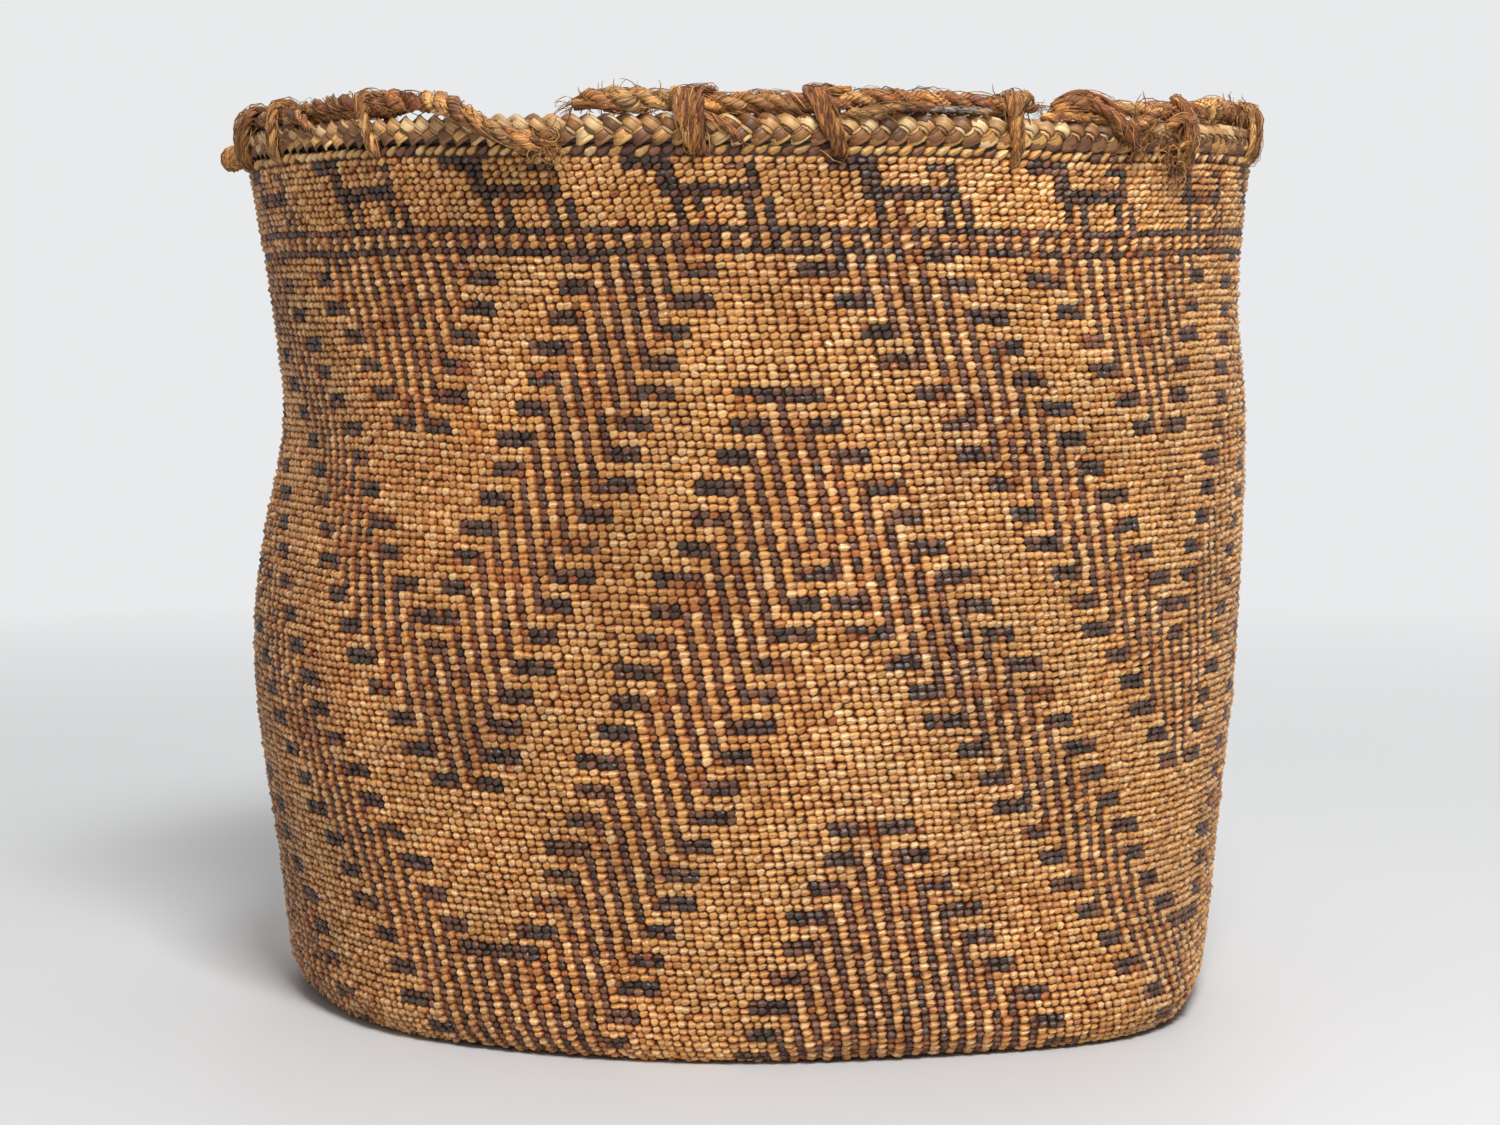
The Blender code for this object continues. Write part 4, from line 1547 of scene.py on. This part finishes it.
# Short lengths of rope beside the cords: cord, reach, plies, route
ROPES = (
    (
        "lacing_cord_right",
        0.0018,
        2,
        (
            (38.2, 0.0024, 0.0098),
            (40.4, 0.0044, 0.0062),
            (42.2, 0.0050, 0.0012),
            (44.0, 0.0048, -0.0034),
        ),
    ),
    (
        "lacing_cord_right",
        0.0020,
        3,
        (
            (41.5, 0.0030, 0.0020),
            (44.0, 0.0034, 0.0034),
            (46.4, 0.0030, 0.0056),
            (48.4, 0.0026, 0.0082),
        ),
    ),
    (
        "lacing_cord_right",
        0.0015,
        2,
        (
            (49.0, 0.0036, 0.0030),
            (51.4, 0.0046, 0.0052),
            (53.6, 0.0044, 0.0048),
            (55.6, 0.0030, 0.0066),
        ),
    ),
    (
        "lacing_cord_front",
        0.0012,
        2,
        (
            (-6.5, 0.0030, 0.0050),
            (-4.0, 0.0040, 0.0036),
            (-2.0, 0.0042, 0.0008),
            (-0.6, 0.0036, -0.0036),
        ),
    ),
    (
        "lacing_cord_front",
        0.0013,
        2,
        (
            (9.5, 0.0026, 0.0044),
            (12.0, 0.0036, 0.0052),
            (15.0, 0.0032, 0.0064),
            (19.0, 0.0020, 0.0072),
        ),
    ),
    (
        "lacing_cord_front",
        0.0015,
        2,
        (
            (10.0, -0.0012, 0.0054),
            (16.0, -0.0014, 0.0060),
            (22.0, -0.0012, 0.0060),
            (27.0, -0.0008, 0.0056),
        ),
    ),
    (
        "lacing_cord_front",
        0.0015,
        2,
        (
            (-5.0, -0.0008, 0.0052),
            (-1.0, -0.0010, 0.0056),
            (3.0, -0.0010, 0.0056),
            (7.0, -0.0006, 0.0052),
        ),
    ),
    (
        "lacing_cord_right",
        0.0014,
        2,
        (
            (31.5, 0.0010, 0.0052),
            (35.0, 0.0014, 0.0058),
            (38.5, 0.0014, 0.0056),
            (41.5, 0.0010, 0.0048),
        ),
    ),
    (
        "lacing_cord_left",
        0.0016,
        2,
        (
            (-60.0, -0.0010, 0.0052),
            (-52.0, -0.0012, 0.0060),
            (-46.0, -0.0010, 0.0062),
            (-41.0, -0.0006, 0.0054),
        ),
    ),
    (
        "lacing_cord_left",
        0.0016,
        2,
        (
            (-58.8, 0.0034, 0.0040),
            (-56.8, 0.0034, 0.0070),
            (-54.6, 0.0034, 0.0056),
            (-53.0, 0.0036, 0.0020),
        ),
    ),
)
# Tangles of torn fibre: cord, degrees, outward, upward, how far they spread along, outward and upward,
# number of fibres, red or not
TANGLES = (
    ("lacing_cord_left", -21.0, 0.0060, -0.0050, 0.0036, 0.0008, 0.0018, 70, False),
    ("lacing_cord_rear_left", -85.0, 0.0006, 0.0040, 0.0028, 0.0014, 0.0018, 50, False),
    ("lacing_cord_front", -12.5, 0.0010, 0.0080, 0.0052, 0.0010, 0.0010, 60, False),
    ("lacing_cord_front", 28.5, 0.0010, 0.0080, 0.0030, 0.0010, 0.0010, 40, False),
    ("lacing_cord_right", 44.6, 0.0040, 0.0016, 0.0038, 0.0008, 0.0030, 90, False),
    ("lacing_cord_right", 51.6, 0.0046, -0.0064, 0.0036, 0.0010, 0.0030, 90, False),
    ("lacing_cord_right", 70.6, 0.0004, 0.0082, 0.0030, 0.0016, 0.0018, 80, True),
)


def traced(route, first, last, steps, spacing):
    """Points at an even spacing along a route's smooth curve, from one place round the rim to another."""
    outs = [(degrees, out) for degrees, out, up in route]
    ups = [(degrees, up) for degrees, out, up in route]
    rough = []
    for n in range(steps + 1):
        degrees = first + (last - first) * n / steps
        rough.append(rim_point(degrees, smooth_value(outs, degrees), smooth_value(ups, degrees)))
    return even_points(rough, spacing)


def whole_route(route, spacing):
    return traced(route, route[0][0], route[-1][0], ROUTE_STEPS * (len(route) - 1), spacing)


def even_points(rough, spacing):
    length = sum((after - before).length for before, after in zip(rough, rough[1:]))
    count = max(LEAST_SPANS, round(length / spacing))
    step = length / count
    found = [rough[0].copy()]
    left = step
    for before, after in zip(rough, rough[1:]):
        span = (after - before).length
        done = 0.0
        while span - done >= left - ROUNDING and len(found) < count:
            done += left
            found.append(before.lerp(after, done / span))
            left = step
        left -= span - done
    found.append(rough[-1].copy())
    return found


def path_frames(points):
    """Two directions square to a path at each of its points, without sudden turns."""
    hint = Vector((0.0, 0.0, 1.0))
    found = []
    for i, point in enumerate(points):
        before = points[max(i - 1, 0)]
        after = points[min(i + 1, len(points) - 1)]
        along = (after - before).normalized()
        through = (hint - along * hint.dot(along)).normalized()
        found.append((through.cross(along), through))
        hint = through
    return found


def beside(point, sides, turn, away):
    """A point at a distance from a path, at an angle round it."""
    across, through = sides
    return point + (across * math.cos(turn) + through * math.sin(turn)) * away


def scattered(chance, spread):
    return Vector([chance.gauss(0.0, spread) for _ in range(3)])


def tapered(radius, count, end_share):
    """Widths along a strand that is full in its middle and thin at both ends."""
    rises = [math.sin(math.pi * (i + 0.5) / count) for i in range(count)]
    return [radius * (end_share + (1.0 - end_share) * rise) for rise in rises]


def bark_colours(count, chance, palettes=BARKS):
    """Colours along a strand that drift from one bark colour to the next."""

    def picked():
        return shaded(chance.choice(chance.choice(palettes)), chance.uniform(*BARK_LIGHT_RANGE_SHARES))

    found = []
    then = picked()
    for n in range(count):
        if n % BARK_STRETCH == 0:
            now = then
            then = picked()
        found.append(blended(now, then, n % BARK_STRETCH / BARK_STRETCH))
    return found


def add_rope(bundle, points, chance, reach, plies=2, swells=None, palettes=BARKS, lobes=PLY_LOBES):
    """Twist plies round a path: each a lobed strand that thins towards its two ends."""
    offset_share, radius_share = PLY_SHARES[plies]
    frames = path_frames(points)
    outline = round_outline(2 * lobes, ROUND, lobes, PLY_LOBE_SHARE)
    spacing = (points[1] - points[0]).length
    pitch = PLY_PITCH * reach / CORD_REACH
    start = chance.random()
    count = len(points)
    between_plies, between_ropes = PLY_LUMP_PLACES
    for ply in range(plies):
        path = []
        wide = []
        for i, (point, sides) in enumerate(zip(points, frames)):
            end = min(i, count - 1 - i) * spacing / (2.0 * reach)
            grown = reach * min(1.0, PLY_END_SHARE + (1.0 - PLY_END_SHARE) * end)
            if swells:
                grown *= swells[i]
            lump = PLY_LUMP_SHARE * waver(i * PLY_LUMP_STEP, ply * between_plies, start * between_ropes)
            turn = TURN * (i * spacing / pitch + ply / plies + start)
            path.append(beside(point, sides, turn, offset_share * grown))
            wide.append(radius_share * grown * (1.0 + lump))
        tints = bark_colours(count, chance, palettes)
        strips = max(1, count // PLY_STRIP_STEPS)
        bundle.add(path, wide, wide, tints, outline, strips=strips, twist=-PLY_TWIST)


def add_fibre(bundle, path, radius, colour):
    wide = tapered(radius, len(path), FIBRE_END_SHARE)
    bundle.add(path, wide, wide, [colour] * len(path), round_outline(FIBRE_SIDES))


def add_bark_fibre(bundle, path, chance, wide_shares=FIBRE_WIDE_SHARES, red=False):
    """A fibre of random width and bark colour."""
    radius = FIBRE_RADIUS * chance.uniform(*wide_shares)
    palette = BARK_RED if red and chance.random() < FIBRE_RED_SHARE else BARK
    add_fibre(bundle, path, radius, shaded(chance.choice(palette), chance.uniform(*FIBRE_LIGHT_SHARES)))


def add_loose_fibres(bundle, points, chance, reach, count):
    """Fibres that have worked loose and lie round a cord in slow turns."""
    frames = path_frames(points)
    for _ in range(count):
        length = min(chance.randint(*LOOSE_STEPS), len(points) - LEAST_SPANS)
        begin = chance.randint(0, len(points) - length - 1)
        turn = chance.uniform(0.0, TURN)
        rate = chance.uniform(*LOOSE_RATES)
        lift = abs(chance.gauss(0.0, LOOSE_LIFT))
        path = []
        for i in range(begin, begin + length, 2):
            away = reach + lift * math.sin(math.pi * (i - begin) / length)
            path.append(beside(points[i], frames[i], turn, away))
            turn += 2.0 * rate
        add_bark_fibre(bundle, path, chance)


def add_fray(bundle, points, chance, count, length):
    """A spray of fibres where a cord ends, at the last of its points."""
    end = points[-1]
    along = (end - points[-3]).normalized()
    for _ in range(count):
        aim = (along + scattered(chance, FRAY_SPREAD)).normalized()
        across = (chance.gauss(0.0, FRAY_BEND), chance.gauss(0.0, FRAY_BEND))
        bend = Vector((*across, chance.gauss(-FRAY_BEND, FRAY_SAG_SPREAD)))
        start = end + scattered(chance, FRAY_START)
        reach = length * chance.uniform(*FRAY_LENGTH_SHARES)
        path = []
        for n in range(FRAY_STEPS + 1):
            t = n / FRAY_STEPS
            path.append(start + aim * reach * t + bend * reach * t * t)
        add_bark_fibre(bundle, path, chance, FRAY_WIDE_SHARES)


def add_hank(bundle, points, chance, width, strands):
    """Strands that lie side by side in a loose, slightly turned hank."""
    frames = path_frames(points)
    count = len(points)
    outline = round_outline(2 * HANK_LOBES, ROUND, HANK_LOBES, HANK_LOBE_SHARE)
    for _ in range(strands):
        turn = chance.uniform(0.0, TURN)
        rate = chance.uniform(*HANK_RATES)
        away = width * chance.uniform(*HANK_AWAY_SHARES)
        radius = HANK_STRAND_RADIUS * chance.uniform(*HANK_WIDE_SHARES)
        row = chance.uniform(*HANK_PLACES)
        path = []
        for i, (point, sides) in enumerate(zip(points, frames)):
            close = HANK_CLOSE_SHARE + (1.0 - HANK_CLOSE_SHARE) * math.sin(math.pi * i / (count - 1))
            stray = 1.0 + HANK_STRAY_SHARE * waver(i * HANK_STRAY_STEP, row)
            path.append(beside(point, sides, turn, away * close * stray))
            turn += rate
        wide = tapered(radius, count, HANK_END_SHARE)
        thick = [w * HANK_FLAT_SHARE for w in wide]
        bundle.add(path, wide, thick, bark_colours(count, chance), outline)


def add_knot(bundle, centre, chance, size):
    """A knot: one strand wound over and over a ball."""
    steps = KNOT_TURN_STEPS * KNOT_TURNS
    axis = scattered(chance, 1.0).normalized()
    side = axis.orthogonal()
    strand = size * KNOT_STRAND_SHARE
    path = []
    wide = []
    for n in range(steps):
        turned = Matrix.Rotation(TURN * KNOT_TURNS * n / steps, 3, axis)
        rolled = Matrix.Rotation(math.pi * n / steps, 3, side)
        stray = KNOT_STRAY_SHARE * waver(n * KNOT_STRAY_STEP, size * KNOT_STRAY_PER_METRE, 1.0)
        swell = KNOT_SWELL_SHARE * waver(n * KNOT_SWELL_STEP, KNOT_SWELL_PLACE, size * KNOT_SWELL_PER_METRE)
        path.append(centre + rolled @ (turned @ side) * ((size - strand) * (1.0 + stray)))
        wide.append(strand * (1.0 + swell))
    outline = round_outline(2 * KNOT_LOBES, ROUND, KNOT_LOBES, KNOT_LOBE_SHARE)
    bundle.add(path, wide, wide, bark_colours(steps, chance), outline, strips=KNOT_STRIPS, twist=PLY_TWIST)


def add_tangle(bundle, spot, spread, chance, count, red):
    """Torn fibres curled into a mat: each one wanders and bends back on itself."""
    degrees, out, up = spot
    for _ in range(count):
        here = Vector([chance.gauss(0.0, part) for part in spread])
        aim = chance.uniform(0.0, TURN)
        curl = chance.uniform(-TANGLE_CURL, TANGLE_CURL)
        step = chance.uniform(*TANGLE_STRIDES)
        path = []
        for _ in range(TANGLE_POINTS):
            turn = math.degrees(here.x / RIM_RADIUS)
            path.append(rim_point(degrees + turn, out + here.y, up + here.z))
            here.x += step * math.cos(aim)
            here.z += step * math.sin(aim) * TANGLE_FLAT_SHARE
            here.y += chance.gauss(0.0, TANGLE_STRAY)
            aim += curl * TANGLE_CURL_SHARE
        add_bark_fibre(bundle, path, chance, red=red)


def swell_at(point):
    """How much thicker the cord is at a point than elsewhere."""
    a = math.atan2(point.x, -point.y)
    return 1.0 + sum(share * bump(a, middle, half) for middle, half, share in CORD_SWELL_SHARES)


def on_cord(name, table):
    """What a table says of one cord."""
    return [rest for cord, *rest in table if cord == name]


def make_cord(index, name, route):
    """A lacing cord with its frayed ends, knots, hanks, short ropes and tangles."""
    chance = random.Random(SEEDS["cord"] + index)
    # Painted light: some cords are given a share that lightens all their colours
    bundle = Bundle(name.replace("lacing_cord", "bark_cord"), CORD_PAINTED_LIGHT_SHARES.get(name, 1.0))
    points = whole_route(route, CORD_SPACING)
    add_rope(bundle, points, chance, CORD_REACH, swells=[swell_at(point) for point in points])
    add_loose_fibres(bundle, points, chance, CORD_REACH * LOOSE_REACH_SHARE, len(points))
    add_fray(bundle, points[::-1], chance, FRAY_FIBRES, FRAY_LENGTH)
    add_fray(bundle, points, chance, FRAY_FIBRES, FRAY_LENGTH)
    for degrees, out, up, size in on_cord(name, KNOTS):
        add_knot(bundle, rim_point(degrees, out, up), chance, size)
    for first, last, width, strands in on_cord(name, HANKS):
        add_hank(bundle, traced(route, first, last, STRETCH_STEPS, CORD_SPACING), chance, width, strands)
    for reach, plies, short_route in on_cord(name, ROPES):
        short = whole_route(short_route, SHORT_SPACING)
        add_rope(bundle, short, chance, reach, plies)
        add_loose_fibres(bundle, short, chance, reach, len(short) // 2)
        add_fray(bundle, short, chance, SHORT_FRAY_FIBRES, SHORT_FRAY_LENGTH)
    for degrees, out, up, *spread, count, red in on_cord(name, TANGLES):
        add_tangle(bundle, (degrees, out, up), spread, chance, count, red)
    finish_piece(bundle.make(BARK_FINISH), "cord", name)


def make_grey_cord():
    """The thin dusty strand beside the bark cord, with fibres that bow away from it."""
    chance = random.Random(SEEDS["grey cord"])
    bundle = Bundle("dusty_grey_cord")
    points = whole_route(GREY_CORD, GREY_CORD_SPACING)
    add_rope(bundle, points, chance, GREY_CORD_RADIUS * GREY_REACH_SHARE, palettes=(DUST, DUST, BARK))
    for _ in range(GREY_FIBRES):
        begin = chance.randint(0, len(points) - GREY_FIBRE_POINTS - 1)
        shift = scattered(chance, GREY_FIBRE_STRAY)
        path = []
        for n in range(GREY_FIBRE_POINTS):
            path.append(points[begin + n] + shift * math.sin(math.pi * n / (GREY_FIBRE_POINTS - 1)))
        add_fibre(bundle, path, FIBRE_RADIUS, shaded(chance.choice(DUST), chance.uniform(*GREY_LIGHT_SHARES)))
    finish_piece(bundle.make(BARK_FINISH), "grey_cord", "thin_grey_cord")


def make_cords():
    for index, (name, route) in enumerate(CORDS.items()):
        make_cord(index, name, route)
    make_grey_cord()


# The ties

TIE_STEPS = 36
TIE_STRAND_REACH = 0.00115
TIE_LOOSE_SHARE = 1.05
TIE_VIEW_REACH = 0.0043
TIE_VIEW_SQUARENESS = 2.8
TIE_FOOT_SHARE = 0.45
TIE_STRAY_DEGREES = 0.16
TIE_STRAY_STEP = 0.13
TIE_STRAY_APART = 3.0
TIE_REACH_SHARE = 0.16
TIE_REACH_STEP = 0.11
TIE_REACH_PLACE = 4.0
TIE_REACH_APART = 2.0
# Each tie as it is wound: turns, spread over the top in degrees, lean in degrees, how far down it goes
TIE_FORMS = (
    (6, 5.6, 0.4, 0.0064),
    (7, 6.0, -0.4, 0.0066),
    (3, 2.0, 0.8, 0.0070),
    (2, 1.1, 1.9, 0.0072),
    (5, 3.4, 1.2, 0.0064),
    (4, 2.0, 3.0, 0.0070),
    (3, 1.6, 0.5, 0.0086),
    (3, 1.8, 1.5, 0.0104),
    (2, 1.2, -0.8, 0.0070),
    (4, 3.0, 0.6, 0.0064),
    (3, 1.8, 1.2, 0.0078),
    (2, 1.2, -1.4, 0.0072),
    (4, 2.6, 1.6, 0.0068),
    (2, 1.4, 0.6, 0.0084),
    (3, 2.0, -1.0, 0.0072),
    (3, 1.6, 2.2, 0.0070),
    (2, 1.2, 0.8, 0.0082),
    (4, 2.4, -0.8, 0.0068),
)


def make_ties():
    """Each tie: turns of bark fibre side by side over cord and braid, drawn down through the wall."""
    for index, (centre, (turns, wide, lean, drop)) in enumerate(zip(TIE_DEGREES, TIE_FORMS)):
        chance = random.Random(SEEDS["tie"] + index)
        bundle = Bundle(f"tie_turns_{index + 1:02d}")
        middle = (TIE_TOP - drop) / 2.0
        half = (TIE_TOP + drop) / 2.0
        points = []
        total = turns * TIE_STEPS
        for n in range(total + 1):
            out, up = squared_turn(TURN * n / TIE_STEPS - TURN / 4.0, TIE_VIEW_SQUARENESS)
            high = (up + 1.0) / 2.0
            spread = wide * (n / total - 0.5) * (TIE_FOOT_SHARE + (1.0 - TIE_FOOT_SHARE) * high)
            stray = TIE_STRAY_DEGREES * waver(n * TIE_STRAY_STEP, index * TIE_STRAY_APART)
            front = lean * (0.5 - high) * (1.0 if out > 0.0 else -1.0)
            swell = TIE_REACH_SHARE * waver(n * TIE_REACH_STEP, TIE_REACH_PLACE, index * TIE_REACH_APART)
            reach = TIE_VIEW_REACH * (1.0 + swell)
            points.append(rim_point(centre + spread + front + stray, reach * out, middle + half * up))
        points = even_points(points, CORD_SPACING)
        add_rope(bundle, points, chance, TIE_STRAND_REACH, lobes=TIE_PLY_LOBES)
        add_loose_fibres(bundle, points, chance, TIE_STRAND_REACH * TIE_LOOSE_SHARE, len(points) // 2)
        finish_piece(bundle.make(BARK_FINISH), "cord_tie", f"cord_tie_{index + 1:02d}")


# Floor, light and camera

CAMERA_PLACE = (0.0006, -1.194, 0.239)
CAMERA_PITCH = 4.9
CAMERA_LENS = 86.4
CAMERA_SENSOR = 36.0
FLOOR_HALF = 6.0
FLOOR_FADE = (0.35, 1.30)
FLOOR_ROUGHNESS = 0.6
# Lights: name, place, size, power
LIGHTS = (
    ("key", (0.26, -1.28, 1.62), 0.55, 41.0),
    ("fill", (-0.3, -1.7, 0.5), 1.0, 3.2),
    ("top", (0.0, 0.2, 1.7), 1.6, 7.0),
    ("rear", (0.35, 1.6, 1.0), 1.4, 7.0),
)
WORLD_STRENGTH = 0.13


def make_floor():
    """A pale floor that keeps its shadow and fades into the backdrop further out."""
    corners = [(x * FLOOR_HALF, y * FLOOR_HALF, 0.0) for x, y in ((-1, -1), (1, -1), (1, 1), (-1, 1))]
    mesh = bpy.data.meshes.new("floor")
    mesh.from_pydata(corners, [], [(0, 1, 2, 3)])
    made, tree, shader = new_material("pale_floor")
    feed(tree, shader, "Base Color", shaded(FLOOR_COLOUR, 1.0))
    feed(tree, shader, "Roughness", FLOOR_ROUGHNESS)
    away = add_node(tree, "ShaderNodeVectorMath", operation="LENGTH")
    feed(tree, away, 0, object_place(tree))
    fade = ranged(tree, away.outputs["Value"], *FLOOR_FADE, 0.0, 1.0)
    seen = add_node(tree, "ShaderNodeLightPath")
    glow = add_node(tree, "ShaderNodeEmission")
    feed(tree, glow, "Color", shaded(BACKDROP_COLOUR, 1.0))
    share = times(tree, fade, seen.outputs["Is Camera Ray"])
    surface = mixed_shaders(tree, share, shader.outputs[0], glow.outputs[0])
    feed(tree, tree.nodes["Material Output"], "Surface", surface)
    mesh.materials.append(made)
    linked("floor", mesh)


def make_world():
    """Soft light from all round, with the pale backdrop where the camera looks past the floor."""
    world = bpy.data.worlds.new("studio")
    bpy.context.scene.world = world
    world.use_nodes = True
    tree = world.node_tree
    tree.nodes.clear()
    seen = add_node(tree, "ShaderNodeLightPath").outputs
    mirrored = worked(tree, "MAXIMUM", seen["Is Glossy Ray"], seen["Is Transmission Ray"])
    shown = worked(tree, "MAXIMUM", seen["Is Camera Ray"], mirrored)
    shaders = []
    for colour, strength in (((1.0, 1.0, 1.0, 1.0), WORLD_STRENGTH), (shaded(BACKDROP_COLOUR, 1.0), 1.0)):
        made = add_node(tree, "ShaderNodeBackground")
        feed(tree, made, "Color", colour)
        feed(tree, made, "Strength", strength)
        shaders.append(made.outputs[0])
    out = add_node(tree, "ShaderNodeOutputWorld")
    feed(tree, out, "Surface", mixed_shaders(tree, shown, *shaders))


def make_lights():
    aim = Vector((0.0, 0.0, WALL_TALL / 2.0))
    for name, spot, size, power in LIGHTS:
        lamp = bpy.data.lights.new(name, "AREA")
        lamp.size = size
        lamp.energy = power
        made = linked(name, lamp)
        made.location = spot
        made.rotation_euler = (aim - Vector(spot)).to_track_quat("-Z", "Y").to_euler()


def make_camera():
    camera = bpy.data.cameras.new("camera")
    camera.lens = CAMERA_LENS
    camera.sensor_width = CAMERA_SENSOR
    made = linked("camera", camera)
    made.location = CAMERA_PLACE
    made.rotation_euler = (math.radians(90.0 - CAMERA_PITCH), 0.0, 0.0)
    bpy.context.scene.camera = made


bpy.context.scene.view_settings.view_transform = "Standard"
make_camera()
make_floor()
make_world()
make_lights()

STITCH_FINISH = stitch_finish()
CORE_FINISH = core_finish()
LEAF_FINISH = strand_finish("dry_leaf")
BARK_FINISH = strand_finish("bark_fibre")
STITCH_TREE = stitch_tree()
FULL_FORM = stitch_form("stitch_form", False)
DOUBLE_FORM = stitch_form("row_stitch_form", True)
LOW_FORM = low_form("plain_stitch_form")

make_core()
make_wall()
make_base()
make_rim_row()
make_braid()
make_cords()
make_ties()
